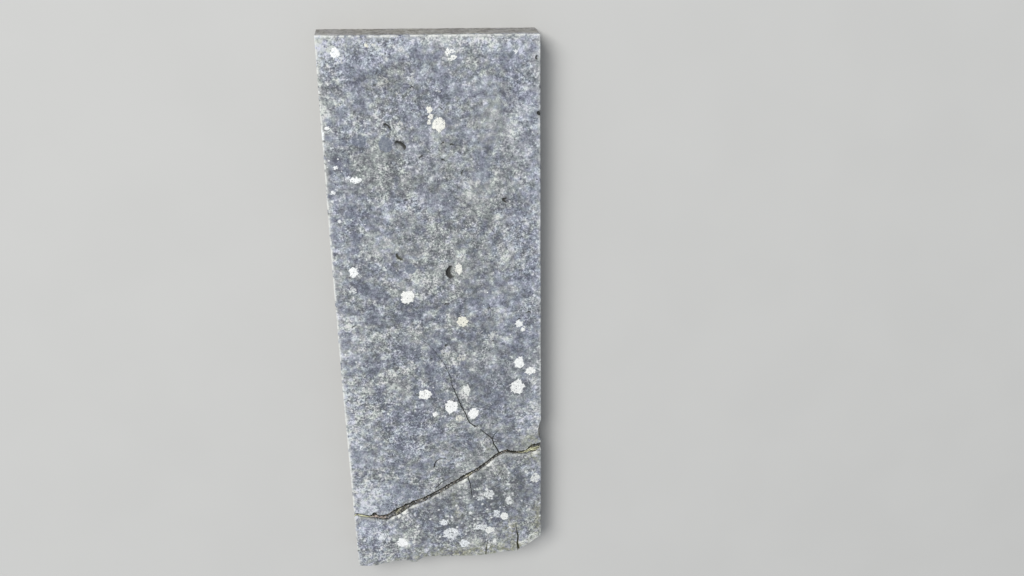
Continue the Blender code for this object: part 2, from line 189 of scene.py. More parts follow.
# Crusts of lichen: place and size in the photo's pixels, tone (0 white, 1 cream), and how thick they grow
crustPlaces = [
    (335, 53, 10, 12, 0, 1), (341, 60.5, 12, 10, 0.6, 0.35), (447.8, 52.5, 5, 8, 0.2, 1),
    (453.6, 57, 6, 6, 0.3, 0.95), (450, 59.2, 6, 4, 0.3, 0.9), (452.6, 51.2, 6, 4, 0.2, 0.9),
    (516, 51, 5, 5, 0, 0.85), (436.6, 90.5, 7, 6, 0.5, 0.4), (429.5, 109.5, 6, 9, 0.6, 1),
    (430.7, 116.5, 6, 6, 0.6, 0.95), (428.9, 122, 5, 5, 0.6, 0.95), (439, 124.5, 15, 16, 0.6, 1),
    (400, 124.5, 6, 6, 0.9, 0.4), (327, 127.8, 5, 4, 0, 0.95), (328.3, 132.6, 3, 3, 0, 0.8),
    (322.6, 135.5, 5, 12, 0.1, 0.8), (331.8, 147.6, 5, 4, 0, 0.7), (335.8, 168.4, 5, 4, 0, 0.9),
    (333.3, 193, 5, 4, 0.1, 0.85), (355.7, 180.6, 13, 7, 0, 1), (348, 178.8, 6, 4, 0, 0.8),
    (353.5, 273, 9, 11, 0, 1), (359.2, 277, 4, 4, 0.2, 0.5), (353, 290.5, 9, 8, 0.3, 0.55),
    (458.6, 269, 8, 12, 0.6, 0.95), (407.5, 297.4, 16, 14, 0.3, 1), (421.7, 298, 9, 9, 0.3, 0.25),
    (508, 229, 5, 3, 0.1, 0.6), (523, 267, 5, 5, 0.2, 0.5), (462.4, 321.8, 12, 12, 1, 1),
    (519.2, 323.6, 8, 8, 0.1, 0.9), (523.2, 329, 5, 6, 0.3, 0.85), (493.3, 335.9, 10, 9, 0.6, 0.35),
    (479, 332, 8, 8, 0.5, 0.22), (445.7, 352.6, 12, 9, 0.6, 0.4), (461.5, 358, 11, 7, 0.9, 0.45),
    (431, 363, 8, 5, 0.6, 0.3), (472.5, 369.5, 6, 5, 0.4, 0.5), (519.3, 363, 11, 12, 0.1, 0.95),
    (530.2, 371.4, 11, 9, 0.2, 0.95), (518.2, 386.7, 16, 14, 0.2, 0.9), (534.5, 380.6, 9, 9, 0.5, 0.45),
    (467, 390.6, 8, 12, 0.4, 0.8), (461.6, 391.6, 7, 9, 0.6, 0.5), (425, 394.8, 14, 11, 0.2, 1),
    (451.3, 407, 15, 14, 0.1, 1), (435, 414.3, 6, 5, 0.1, 0.95), (473.8, 413.9, 11, 11, 0.1, 1),
    (459.6, 418.5, 10, 7, 0.9, 0.7), (535.4, 404.6, 9, 14, 0.4, 0.35), (532.6, 430.5, 12, 12, 0.5, 0.28),
    (442, 462, 14, 8, 0.8, 0.28), (361.6, 448.4, 6, 4, 0, 0.65), (535.4, 478.6, 10, 10, 0.5, 0.74),
    (526.7, 472, 4, 4, 0.3, 0.65), (489.2, 494.3, 11, 9, 0.3, 0.7), (509, 500.8, 8, 10, 0.3, 0.7),
    (504, 494.3, 4, 3, 0.2, 0.5), (496.6, 513.7, 8, 9, 0, 0.76), (504.5, 516.5, 9, 9, 0.3, 0.88),
    (444.3, 522.6, 10, 7, 0, 0.8), (451.3, 533.4, 16, 12, 0.1, 0.78), (382.9, 536.9, 9, 8, 0, 0.72),
    (402.8, 543, 12, 9, 0, 1), (464.2, 543.3, 12, 8, 0, 0.78), (481, 527.4, 15, 6, 0.1, 0.7),
    (489.6, 530, 10, 7, 0.4, 0.85), (494.7, 541.5, 6, 5, 0.3, 0.8), (431, 512.8, 5, 4, 0.4, 0.3),
    (458.7, 512.8, 6, 14, 0.8, 0.25), (512, 526.7, 14, 12, 1, 0.25), (521.6, 542.5, 12, 5, 0.5, 0.5),
    (366, 45.5, 5, 4, 1, 0.8), (373, 45, 5, 5, 0.8, 0.6), (382.5, 82, 14, 13, 0.7, 0.3),
    (397.5, 93.5, 6, 6, 0.9, 0.35), (412, 81, 13, 14, 0.6, 0.22), (337, 106, 7, 5, 1, 0.4),
    (476, 526, 6, 5, 0.3, 0.5), (466, 182, 13, 14, 0.3, 0.3), (375.5, 530, 6, 5, 0.2, 0.4),
    (480.5, 498.5, 9, 6, 0.1, 0.6),
]

# Dark bluish blotches in the stone: place and size in the photo's pixels, and strength
blotchPlaces = [
    (385.8, 144, 16, 17, 1), (359, 141, 17, 14, 0.85), (342, 142.5, 11, 8, 0.6),
    (410.7, 269.2, 12, 11, 1), (348, 216.4, 13, 8, 0.6), (357, 241.5, 11, 10, 0.55),
    (368.8, 38.8, 7, 5, 0.6), (425, 138, 9, 8, 0.5), (453.6, 121.8, 15, 8, 0.55),
    (487.5, 161, 8, 7, 0.35), (329.5, 123.5, 8, 10, 0.4), (396.4, 86, 9, 7, 0.45),
    (425, 46.8, 13, 6, 0.5), (381, 397, 10, 8, 0.4), (410.6, 365.8, 10, 8, 0.35),
    (446, 396.4, 17, 8, 0.7), (357, 454.6, 15, 8, 0.45), (425.4, 454.6, 10, 7, 0.35),
    (479, 503.6, 19, 8, 0.5), (529, 314, 7, 6, 0.5), (353, 369.5, 9, 8, 0.35),
    (456.8, 371.4, 15, 6, 0.35), (335, 83, 8, 6, 0.4), (520, 500, 9, 18, 0.4),
]

# Broad light and dark of the face: place and reach in the photo's pixels, and how many of the photo's tones
# lighter or darker
broadTones = [
    (325, 48, 18, 14, 40), (334, 62, 24, 24, 8), (470, 40, 90, 5, 12), (366, 76, 28, 15, -12),
    (338, 86, 14, 12, -10), (425, 45, 42, 9, 14), (388, 41, 44, 6, 8), (398, 66, 14, 10, -11),
    (338, 106, 9, 12, 11), (508, 48, 26, 10, 20), (538, 66, 8, 12, -10), (370, 163, 26, 26, -24),
    (400, 205, 26, 14, 11), (338, 205, 10, 16, -8), (378, 235, 30, 11, -6), (500, 130, 26, 18, 8),
    (538, 145, 9, 24, 12), (480, 213, 22, 15, -12), (457, 227, 14, 9, -6), (458, 187, 11, 9, 9),
    (438, 186, 10, 9, -15), (420, 145, 22, 20, 6), (386, 300, 34, 20, -11), (455, 286, 26, 10, -9),
    (488, 305, 24, 18, 8), (348, 400, 14, 110, 14), (342, 298, 8, 28, -14), (357, 345, 11, 34, 10),
    (358, 405, 10, 14, 7), (358, 465, 12, 12, 10), (518, 335, 12, 16, 9), (478, 466, 14, 9, -10),
    (378, 348, 9, 12, -9), (435, 340, 24, 12, 5), (395, 380, 16, 16, -8), (490, 375, 40, 46, -13),
    (538, 385, 9, 18, 14), (526, 415, 18, 20, 9), (458, 418, 16, 16, -8), (438, 405, 12, 10, -6),
    (372, 430, 14, 18, 5), (377, 496, 16, 16, 14), (360, 528, 18, 28, 24), (384, 530, 14, 24, 16),
    (420, 522, 24, 16, -13), (455, 506, 44, 15, -12), (498, 498, 24, 18, -17), (520, 480, 14, 12, -11),
    (500, 541, 26, 12, 12), (520, 546, 13, 12, 17), (512, 528, 8, 8, 9), (455, 466, 18, 9, 6),
    (440, 540, 40, 12, 3), (538, 275, 9, 25, 5), (538, 226, 8, 12, -6), (538, 108, 8, 16, 5),
    (538, 527, 8, 8, -6), (318, 65, 8, 12, 6), (418, 65, 12, 9, 5), (438, 85, 12, 9, 6),
    (518, 94, 12, 16, 6), (350, 105, 14, 9, 5), (368, 125, 14, 9, 6), (478, 145, 12, 10, 7),
    (338, 165, 10, 10, 6), (478, 205, 10, 9, -5), (338, 245, 9, 12, 8), (398, 265, 10, 9, 6),
    (378, 345, 10, 10, -5), (398, 385, 10, 10, -5), (538, 385, 8, 12, 4), (338, 80, 16, 60, 2),
    (342, 300, 12, 60, 3), (468, 232, 30, 12, -4), (485, 385, 30, 30, -2), (487, 550, 34, 5, -10),
    (485, 508, 16, 10, -5), (523, 493, 9, 24, -6), (478, 440, 20, 14, -4), (458, 300, 10, 30, -4),
    (408, 470, 14, 12, -5), (538, 528, 6, 8, -8), (358, 265, 9, 12, 6), (484, 68, 12, 26, -4),
    (518, 128, 12, 9, -8), (478, 145, 12, 9, 4), (418, 105, 10, 9, 5), (438, 85, 10, 9, 6),
    (458, 185, 9, 8, 5), (478, 205, 9, 8, -5), (538, 185, 7, 9, -4), (538, 247, 7, 10, 6),
    (398, 265, 8, 8, 5), (478, 305, 9, 9, 5), (458, 265, 8, 16, -4), (398, 385, 9, 8, -5),
    (458, 427, 9, 8, -5), (488, 468, 16, 9, -6), (362, 526, 14, 10, 6), (455, 487, 12, 8, -5),
    (358, 365, 7, 9, 5), (378, 348, 8, 8, -5),
]
# Where the stone is warmer or bluer than elsewhere: the same, in tones
warmSpots = [
    (418, 168, 30, 28, 6), (400, 338, 44, 16, 5), (358, 352, 14, 34, 4), (528, 115, 18, 60, -7),
    (340, 170, 14, 60, -5), (380, 124, 14, 12, -4), (490, 380, 26, 40, -6), (445, 508, 50, 15, -6),
    (498, 545, 30, 10, 6), (535, 538, 10, 18, 5), (457, 192, 20, 20, 4), (372, 515, 16, 40, 3),
    (368, 70, 24, 20, -5), (440, 405, 14, 10, 4), (366, 225, 30, 30, -3), (366, 465, 14, 80, 3),
    (528, 325, 14, 50, -4), (498, 385, 12, 28, -3), (528, 300, 22, 220, -2),
]
# Where the grain is coarser or finer than elsewhere: the same, as a share more or less
coarseSpots = [
    (352, 55, 22, 14, 0.45), (388, 41, 44, 6, 0.4), (405, 88, 24, 16, 0.25), (480, 120, 28, 60, -0.34),
    (506, 180, 14, 14, -0.25), (372, 150, 22, 30, 0.25), (415, 205, 16, 14, 0.25),
    (392, 420, 34, 34, 0.36), (378, 355, 14, 20, 0.22), (450, 430, 30, 16, 0.2), (485, 300, 26, 26, -0.2),
    (490, 358, 24, 16, -0.25), (530, 130, 10, 60, 0.15), (532, 445, 12, 10, 0.5), (538, 512, 6, 16, 0.6),
    (523, 493, 10, 24, -0.4), (515, 538, 16, 10, 0.45), (395, 520, 30, 30, 0.08),
]
toneStep = 106  # how many of the photo's tones make one step of the stone's own scale
warmStep = 14  # how many lie between the bluest tint and the warmest
paleIsBlue = 0.8  # how much bluer the broad pale places are
crustSeed = 100
blotchSeed = 300

# Green and brown growth, and sprinkled white dots: place and reach in the photo's pixels, and strength
greenSpots = [
    (335, 46, 24, 12, 0.4), (366, 44, 22, 8, 0.35), (318, 52, 6, 26, 0.35), (532, 441, 13, 7, 0.95),
    (489, 446, 5, 8, 0.55), (534, 457, 8, 7, 0.8), (511, 529, 9, 11, 1), (478, 551, 58, 8, 1),
    (537, 520, 6, 22, 0.8), (524, 547, 12, 6, 0.7), (454, 498, 4, 12, 0.45), (459, 514, 5, 9, 0.55),
    (400, 562, 46, 5, 0.6), (500, 470, 9, 6, 0.4), (430, 505, 8, 5, 0.3), (325, 200, 6, 60, 0.3),
    (398, 262, 10, 10, 0.3), (450, 130, 40, 40, 0.12), (385, 90, 40, 30, 0.14),
]
dotSpots = [
    (327, 110, 9, 50, 0.75), (333, 200, 9, 60, 0.55), (345, 330, 8, 120, 0.35), (492, 505, 46, 26, 0.75),
    (440, 535, 50, 18, 0.45), (365, 535, 16, 22, 0.35), (534, 398, 8, 22, 0.6), (400, 400, 60, 70, 0.22),
    (520, 205, 20, 30, 0.25), (430, 180, 40, 40, 0.15), (470, 380, 40, 40, 0.15),
]
# Fresh broken stone on the foot piece's lips, also painted brighter as highlight where they face the light
freshAndHighlitLipSpots = [  # where the foot piece's broken edges are freshly bright
    (372, 519, 10, 12, 0.5), (402, 514, 15, 12, 1.6), (434, 497, 8, 10, 0.8), (466, 479, 6, 8, 1.5),
    (490, 465, 7, 8, 1.2), (512, 455, 8, 10, 0.5), (535, 452, 7, 8, 1.4), (521, 547, 7, 6, 1.2),
    (533, 541, 9, 6, 1.3),
]

# Soil and moss in the break
breakFill = {
    "cell": 1.5 * mm,
    "rows": 10,
    "faceDepth": 4 * mm,  # where the width of its top is taken
    "gap": 0.5 * mm,  # to the walls on either side
    "sink": 2.2 * mm,  # its crown under the face
    "edgeSink": 9.0 * mm,  # its edges under the face
    "lump": 1.3 * mm,
    "depths": [10 * mm, 16 * mm, 24 * mm],
    "ends": 7 * mm,  # how far in from the slab's sides it ends
    "endDrop": (5 * mm, 12 * mm),  # how much lower its ends are, and from how far in
    "lowest": 3 * mm,  # how far it hangs under each of the depths
    "mossSpots": [(398, 510, 13, 10, 0.22), (470, 475, 9, 7, 0.20), (532, 449, 14, 10, 0.27),
                  (360, 516, 8, 6, 0.15)],
    "pinkGrit": (368, 388, 8 * mm, 0.35),  # from and to a column of the photo, its soft ends, and strength
    "shadeStart": 3.0 * mm,  # the dark line along each wall
    "shadeEnd": 7.0 * mm,
    "smoothAngle": 60,
}
grit = {
    "count": 260,
    "least": 0.8 * mm,
    "most": 2.4 * mm,
    "seed": 5,
    "colours": ((0.16, 0.13, 0.10), (0.42, 0.38, 0.32)),
}
strawForm = {
    "stops": 9,
    "sag": 0.7 * mm,
    "sink": 1 * mm,  # under the face
    "ends": 4 * mm,  # from the slab's sides
    "colours": ((0.42, 0.42, 0.24), (0.68, 0.69, 0.50)),
}
straws = [  # from and to a column of the photo, the way off the break's middle at both ends, and the radius
    {"from": 358.0, "to": 369.5, "off": (1.0 * mm, 0.2 * mm), "radius": 2.5 * mm},
    {"from": 353.0, "to": 358.0, "off": (-1.0 * mm, -2.2 * mm), "radius": 1.9 * mm},
    {"from": 518.0, "to": 531.0, "off": (1.5 * mm, -1.5 * mm), "radius": 0.9 * mm},
    {"from": 526.0, "to": 540.5, "off": (-3.0 * mm, 3.5 * mm), "radius": 1.0 * mm},
    {"from": 531.0, "to": 540.5, "off": (4.5 * mm, 1.0 * mm), "radius": 0.8 * mm},
    {"from": 360.0, "to": 372.0, "off": (-2.0 * mm, 1.6 * mm), "radius": 1.3 * mm},
    {"from": 524.0, "to": 538.0, "off": (2.5 * mm, 5.0 * mm), "radius": 1.4 * mm},
    {"from": 529.0, "to": 540.0, "off": (-1.0 * mm, -4.0 * mm), "radius": 1.2 * mm},
]


def deselectAll():
    if bpy.context.mode != "OBJECT":
        bpy.ops.object.mode_set(mode="OBJECT")
    bpy.ops.object.select_all(action="DESELECT")


def pickOnly(obj):
    deselectAll()
    obj.select_set(True)
    bpy.context.view_layer.objects.active = obj


def ripple(points, seed, lump, octaves=3):  # smooth rough noise from about -1 to 1, with lumps of that size
    shift = Vector((seed, seed, seed))
    return np.array([noise.fractal(Vector(point) / lump + shift, 0.7, 2.0, octaves) for point in points])


def flatPoints(x, y):
    return np.column_stack((x, y, np.zeros(len(x))))


def faceLevel(x, y):  # the level of the solids' worn top
    rise = ripple(flatPoints(x, y), 1, 0.6 * slabWidth)
    return slabThickness - stoneFace["swell"] * (0.5 - 0.5 * rise)


def smoothStep(value, start, end):
    share = np.clip((value - start) / (end - start), 0, 1)
    return share * share * (3 - 2 * share)


def middleOf(values, reach=3):  # a running median, which drops the narrow mouths of cracks
    padded = np.pad(values, reach, mode="edge")
    return np.median(np.stack([padded[i:i + len(values)] for i in range(2 * reach + 1)]), axis=0)


def surfaceTree(node):
    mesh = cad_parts[node].data
    corners = [vert.co for vert in mesh.vertices]
    return BVHTree.FromPolygons(corners, [face.vertices[:] for face in mesh.polygons])


def hitAlong(tree, start, way, reach, missed):  # how far a ray runs until it meets the solid
    found = tree.ray_cast(Vector(start), Vector(way), reach)
    return missed if found[0] is None else found[3]


def endPlaces(tree, xs, level, sign, facing=0.0):
    # Where rays along the slab meet one end of a fragment, on faces that look that way
    places = np.zeros(len(xs))
    met = np.zeros(len(xs), bool)
    for number, (x, z) in enumerate(zip(xs, level)):
        start = Vector((x, -sign * slabLength, z))
        place, normal, _, _ = tree.ray_cast(start, Vector((0, sign, 0)), 2 * slabLength)
        if place is not None and abs(normal.y) >= facing:
            places[number] = place.y
            met[number] = True
    return places, met


def outlineOf(settings, tree, depth):
    # The four edges of a fragment's top: two as x against y, and two as y against x
    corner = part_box(settings["node"])
    xs = np.linspace(boxLow.x + 1.2 * mm, boxHigh.x - 1.2 * mm, stoneFace["samples"])
    under = np.full(len(xs), slabThickness - stoneFace["underArris"])
    outline = {}
    for side, sign in (("near", 1), ("far", -1)):
        deep, hit = endPlaces(tree, xs, under, sign, stoneFace["facing"])
        deep = middleOf(np.interp(xs, xs[hit], deep[hit]), 5)
        top, hit = endPlaces(tree, xs, faceLevel(xs, deep) - depth, sign)
        hit &= np.abs(top - deep) < stoneFace["inset"]  # past the corners a ray finds the far end's arris
        shift = np.interp(xs, xs[hit], (top - deep)[hit])
        points = flatPoints(xs, deep)
        inward = settings["nibble"][side] * (0.5 + 0.5 * ripple(points, settings["seed"], 0.012))
        if side == settings["lipSide"]:
            ragged = np.clip(0.55 + 1.1 * ripple(points, settings["seed"] + 17, 0.0055, 2), 0.1, 1.6)
            for column, reach, bite in settings["lipChips"]:
                near = smoothStep(np.abs(xs - breakX(column)), breakX(column + reach) - breakX(column), 0)
                inward += bite * mm * near * ragged
        outline[side] = (xs, deep + middleOf(shift, 6) + sign * inward)
        outline[side + "Bite"] = (xs, inward)
    for side, sign in (("left", 1), ("right", -1)):
        edge = corner[0].x if side == "left" else corner[1].x
        first = np.interp(edge, *outline["near"]) + 8 * mm
        last = np.interp(edge, *outline["far"]) - 8 * mm
        ys = np.linspace(first, last, int((last - first) / (3 * mm)))
        level = faceLevel(np.full(len(ys), edge), ys) - depth
        starts = np.column_stack((np.full(len(ys), -sign * slabWidth), ys, level))
        way = (sign, 0, 0)
        runs = np.array([hitAlong(tree, start, way, 2 * slabWidth, 0.5 * slabWidth) for start in starts])
        inward = settings["nibble"][side] * (0.5 + 0.5 * ripple(starts, settings["seed"] + 3, 0.014))
        outline[side] = (ys, sign * (middleOf(runs) - slabWidth) + sign * inward)
    return outline


def placeAt(outline, across, along):  # shares across and along a fragment's top, as x and y
    x = boxLow.x + (boxHigh.x - boxLow.x) * across
    for _ in range(4):
        near = np.interp(x, *outline["near"])
        far = np.interp(x, *outline["far"])
        y = near + (far - near) * along
        left = np.interp(y, *outline["left"])
        right = np.interp(y, *outline["right"])
        x = left + (right - left) * across
    return x, y


def gridStops(length, cell):  # rows close together along both edges and evenly spread between
    edge = np.array([0.0, *stoneFace["edgeRows"]])
    steps = max(4, round((length - 2 * edge[-1]) / cell))
    inner = np.linspace(edge[-1], length - edge[-1], steps + 1)
    return np.concatenate((edge[:-1], inner, length - edge[-2::-1])) / length


def jitteredPath(name, points, step=3.5 * mm):
    # A crack's line through its points, with a break-like wander to the sides, least on a short one
    line = np.array([onFace(*point)[:2] for point in points])
    runs = np.concatenate(([0], np.cumsum(np.linalg.norm(np.diff(line, axis=0), axis=1))))
    wander = min(2.3 * mm, 0.013 * runs[-1])
    count = max(3, int(runs[-1] / step))
    places = np.linspace(0, runs[-1], count)
    path = np.column_stack([np.interp(places, runs, line[:, i]) for i in (0, 1)])
    seed = sum(ord(letter) for letter in name) % 50
    shift = np.array([[noise.noise(Vector((place / (11 * mm), seed, i * 7)))
                       + 0.6 * noise.noise(Vector((place / (4.5 * mm), seed + 3, i * 7))) for i in (0, 1)]
                      for place in places])
    return path + wander * shift, places / runs[-1]


def distanceToPath(x, y, path, shares):  # how far each point is from a path, and its share along it
    nearest = np.full(len(x), 1.0)
    share = np.zeros(len(x))
    for i in range(len(path) - 1):
        start = path[i]
        run = path[i + 1] - start
        t = np.clip(((x - start[0]) * run[0] + (y - start[1]) * run[1]) / (run @ run), 0, 1)
        gap = np.hypot(x - start[0] - t * run[0], y - start[1] - t * run[1])
        closer = gap < nearest
        nearest[closer] = gap[closer]
        share[closer] = (shares[i] + t * (shares[i + 1] - shares[i]))[closer]
    return nearest, share


def cracksAt(x, y):  # depth and darkness of the cracks
    depth = np.zeros(len(x))
    dark = np.zeros(len(x))
    for name, (points, firstWidth, lastWidth, firstDepth, lastDepth) in crackPaths.items():
        path, shares = jitteredPath(name, points)
        gap, share = distanceToPath(x, y, path, shares)
        half = (firstWidth + (lastWidth - firstWidth) * share) * mm / 2
        full = (firstDepth + (lastDepth - firstDepth) * share) * mm
        depth = np.maximum(depth, full * np.clip(1 - gap / half, 0, 1))
        depth = np.maximum(depth, 0.06 * full * np.clip(1 - gap / (3 * half), 0, 1))
        # The darkness is dirt and painted shade, darker where a crack is deeper
        strength = np.clip(full / (7 * mm), 0.42, 0.9)
        dark = np.maximum(dark, strength * np.clip(1.25 - gap / (half + 0.4 * mm), 0, 1))
    return depth, dark


def hollowsAt(x, y):  # depth and darkness of the fossil hollows
    depth = np.zeros(len(x))
    dark = np.zeros(len(x))
    for number, (column, row, length, width, deepest, turn, steepSide) in enumerate(hollowPlaces):
        place = onFace(column, row)
        angle = math.radians(turn)
        dx = x - place.x
        dy = y - place.y
        run = (dx * math.cos(angle) + dy * math.sin(angle)) / (length * mm / 2)
        side = (dy * math.cos(angle) - dx * math.sin(angle)) / (width * mm / 2)
        around = np.hypot(run, side)
        close = around < 1.6
        if not close.any():
            continue
        ragged = np.zeros(len(x))
        ragged[close] = 0.12 * ripple(flatPoints(x[close], y[close]), number, 0.008, 2)
        steep = math.radians(steepSide)
        lean = (dx * math.cos(steep) + dy * math.sin(steep)) / (length * mm / 2)
        shape = smoothStep(around + ragged, 1.0, 0.6) * np.clip(0.55 + 0.7 * lean, 0.15, 1)
        depth = np.maximum(depth, deepest * mm * shape)
        awayX = dx + 0.22 * width * mm * math.cos(steep)
        awayY = dy + 0.22 * width * mm * math.sin(steep)
        innerRun = (awayX * math.cos(angle) + awayY * math.sin(angle)) / (length * mm / 2)
        innerSide = (awayY * math.cos(angle) - awayX * math.sin(angle)) / (width * mm / 2)
        crescent = smoothStep(np.hypot(innerRun, innerSide) + ragged, 0.28, 0.85)
        crescent *= np.clip(0.75 + 0.6 * lean * length / width, 0.35, 1)
        # Painted shade: a dark crescent on the steep side, and a darker floor over the rest of the hollow
        shade = smoothStep(around + ragged, 1.05, 0.85) * np.maximum(crescent, 0.36)
        dark = np.maximum(dark, shade * min(1.0, 0.5 + deepest / 8))
    return depth, dark


def lobesOf(dice, loose):  # a patch of unit size as round lobes: place and radius of each
    lobes = [(0.0, 0.0, 0.86 - 0.34 * loose)]
    count = 9
    for number in range(count):
        angle = math.tau * (number + dice.uniform(-0.4, 0.4)) / count
        reach = dice.uniform(0.50, 0.60) + loose * dice.uniform(-0.15, 0.20)
        radius = dice.uniform(0.30, 0.46) - 0.10 * loose
        lobes.append((reach * math.cos(angle), reach * math.sin(angle), radius))
    return lobes


def patchesAt(x, y, places, seedStart):
    # How far inside the nearest patch each point is, in metres, and which patch that is
    inside = np.full(len(x), -1.0)
    which = np.zeros(len(x), int)
    for number, (column, row, wide, tall, *_, strength) in enumerate(places):
        place = onFace(column, row)
        width, length = pixelSize(column, row, wide, tall)
        dx = (x - place.x) / (width / 2)
        dy = (y - place.y) / (length / 2)
        close = np.flatnonzero(np.hypot(dx, dy) < 2.0)
        if not len(close):
            continue
        lobes = lobesOf(random.Random(seedStart + number), 1.0 - 0.8 * strength)
        inLobes = [radius - np.hypot(dx[close] - lobeX, dy[close] - lobeY) for lobeX, lobeY, radius in lobes]
        depth = np.max(inLobes, axis=0) * (width + length) / 4
        better = depth > inside[close]
        inside[close[better]] = depth[better]
        which[close[better]] = number
    return inside, which


def spotsAt(x, y, spots):  # the sum of soft round spots
    total = np.zeros(len(x))
    for column, row, wide, tall, amount in spots:
        place = onFace(column, row)
        width, length = pixelSize(column, row, wide, tall)
        total += amount * np.exp(-((x - place.x) / width) ** 2 - ((y - place.y) / length) ** 2)
    return total


def selectFaces(obj, chosen):
    pickOnly(obj)
    bpy.ops.object.mode_set(mode="EDIT")
    bpy.ops.mesh.select_mode(type="FACE")
    bpy.ops.mesh.select_all(action="DESELECT")
    bpy.ops.object.mode_set(mode="OBJECT")
    obj.data.polygons.foreach_set("select", chosen)
    bpy.ops.object.mode_set(mode="EDIT")


def faceMiddles(obj):
    middles = np.zeros(3 * len(obj.data.polygons))
    obj.data.polygons.foreach_get("center", middles)
    return middles.reshape(-1, 3)


def vertPlaces(obj):
    places = np.zeros(3 * len(obj.data.vertices))
    obj.data.vertices.foreach_get("co", places)
    return places.reshape(-1, 3)


def paint(obj, name, values):  # one number for each point of the mesh, which the materials read
    layer = obj.data.attributes.new(name, "FLOAT", "POINT")
    layer.data.foreach_set("value", np.asarray(values, np.float32))


def wallPlaces(settings, tree, outline, across, along, level, topLevel):
    # Rays towards the fragment find its walls, and finer roughness is cut inwards from there
    x, y = placeAt(outline, across, along)
    insetAcross = stoneFace["inset"] / slabWidth
    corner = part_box(settings["node"])
    insetAlong = stoneFace["inset"] / (corner[1].y - corner[0].y)
    aimX, aimY = placeAt(outline, np.clip(across, insetAcross, 1 - insetAcross),
                         np.clip(along, insetAlong, 1 - insetAlong))
    way = np.column_stack((aimX - x, aimY - y))
    way /= np.linalg.norm(way, axis=1)[:, None]
    depths = [stoneFace["arrisDepth"], *stoneFace["wallDepths"], slabThickness]
    z = topLevel * (1 - np.array(depths)[level] / slabThickness)
    outside = 20 * mm
    travel = np.array([
        hitAlong(tree, (x[i] - way[i, 0] * outside, y[i] - way[i, 1] * outside, max(z[i], 0.5 * mm)),
                 (way[i, 0], way[i, 1], 0), 3 * outside, outside)
        for i in range(len(x))
    ])
    side = np.where(across < 0.5, "left", "right")
    side = np.where(along < 0.00001, "near", np.where(along > 0.99999, "far", side))
    for name, share in (("near", across), ("far", across), ("left", along), ("right", along)):
        for number in range(1, len(depths)):
            row = np.flatnonzero((side == name) & (level == number))
            row = row[np.argsort(share[row])]
            travel[row] = middleOf(travel[row])
    rough = np.array([settings["wallRough"][name] for name in side])
    broken = np.isin(side, settings["brokenSides"])
    places = np.column_stack((x, y, z))
    coarse = ripple(places, settings["seed"] + 5, 0.03)
    fine = ripple(places, settings["seed"] + 9, 0.009, 2)
    ledges = ripple(places * (0.5, 0.5, 3.0), settings["seed"] + 13, 0.03)
    bite = 0.5 + 0.3 * coarse + 0.25 * fine + np.where(broken, 0.35 * ledges, 0)
    depthShare = np.clip((slabThickness - z) / (6 * mm), 0.3, 1)
    travel = travel - outside + rough * depthShare * np.clip(bite, 0, 1.4)
    for name in ("near", "far"):  # chips of the edge go down the wall and run out
        row = side == name
        chip = np.interp(x[row], *outline[name + "Bite"])
        travel[row] += chip * smoothStep(slabThickness - z[row], stoneFace["chipDepth"], 0)
    return x + way[:, 0] * travel, y + way[:, 1] * travel, z, side


def gapsTo(outline, x, y):  # how far inside each of a fragment's edges the points are
    return {
        "left": x - np.interp(y, *outline["left"]),
        "right": np.interp(y, *outline["right"]) - x,
        "near": y - np.interp(x, *outline["near"]),
        "far": np.interp(x, *outline["far"]) - y,
    }


def extrudeWalls(levels):  # the open border is extruded down a level at a time, and the last is filled
    bpy.ops.object.mode_set(mode="EDIT")
    bpy.ops.mesh.select_mode(type="EDGE")
    bpy.ops.mesh.select_all(action="DESELECT")
    bpy.ops.mesh.select_non_manifold(extend=False, use_wire=False, use_multi_face=False,
                                     use_non_contiguous=False, use_verts=False)
    for _ in range(levels):
        bpy.ops.mesh.extrude_region_move(TRANSFORM_OT_translate={"value": (0, 0, -1)})
    bpy.ops.mesh.edge_face_add()
    bpy.ops.mesh.select_all(action="SELECT")
    bpy.ops.mesh.normals_make_consistent(inside=False)
    bpy.ops.object.mode_set(mode="OBJECT")


def topRelief(x, y, gaps):  # the level of a fragment's top, its crusts, and its dark places
    crackDepth, crackDirtAndShade = cracksAt(x, y)
    hollowDepth, hollowShade = hollowsAt(x, y)
    crustDepth, crustNumber = patchesAt(x, y, crustPlaces, crustSeed)
    crustGrowth = np.array([place[5] for place in crustPlaces])[crustNumber]
    points = flatPoints(x, y)
    z = faceLevel(x, y) - stoneFace["rest"]
    for number, (lump, height) in enumerate(stoneFace["lumps"]):
        z += height * ripple(points, 60 + number, lump, 2) * 0.7
    grain = ripple(points, 77, 0.004, 2)
    thick, rough = stoneFace["crust"]
    z += crustGrowth * (thick + rough * grain) * smoothStep(crustDepth, -0.6 * mm, 1.8 * mm)
    z -= crackDepth + hollowDepth
    worn, reach = stoneFace["edgeWear"]
    z -= worn * np.exp(-np.maximum(np.minimum.reduce(list(gaps.values())), 0) / reach)
    return z, crustDepth, crustNumber, np.maximum(crackDirtAndShade, hollowShade)


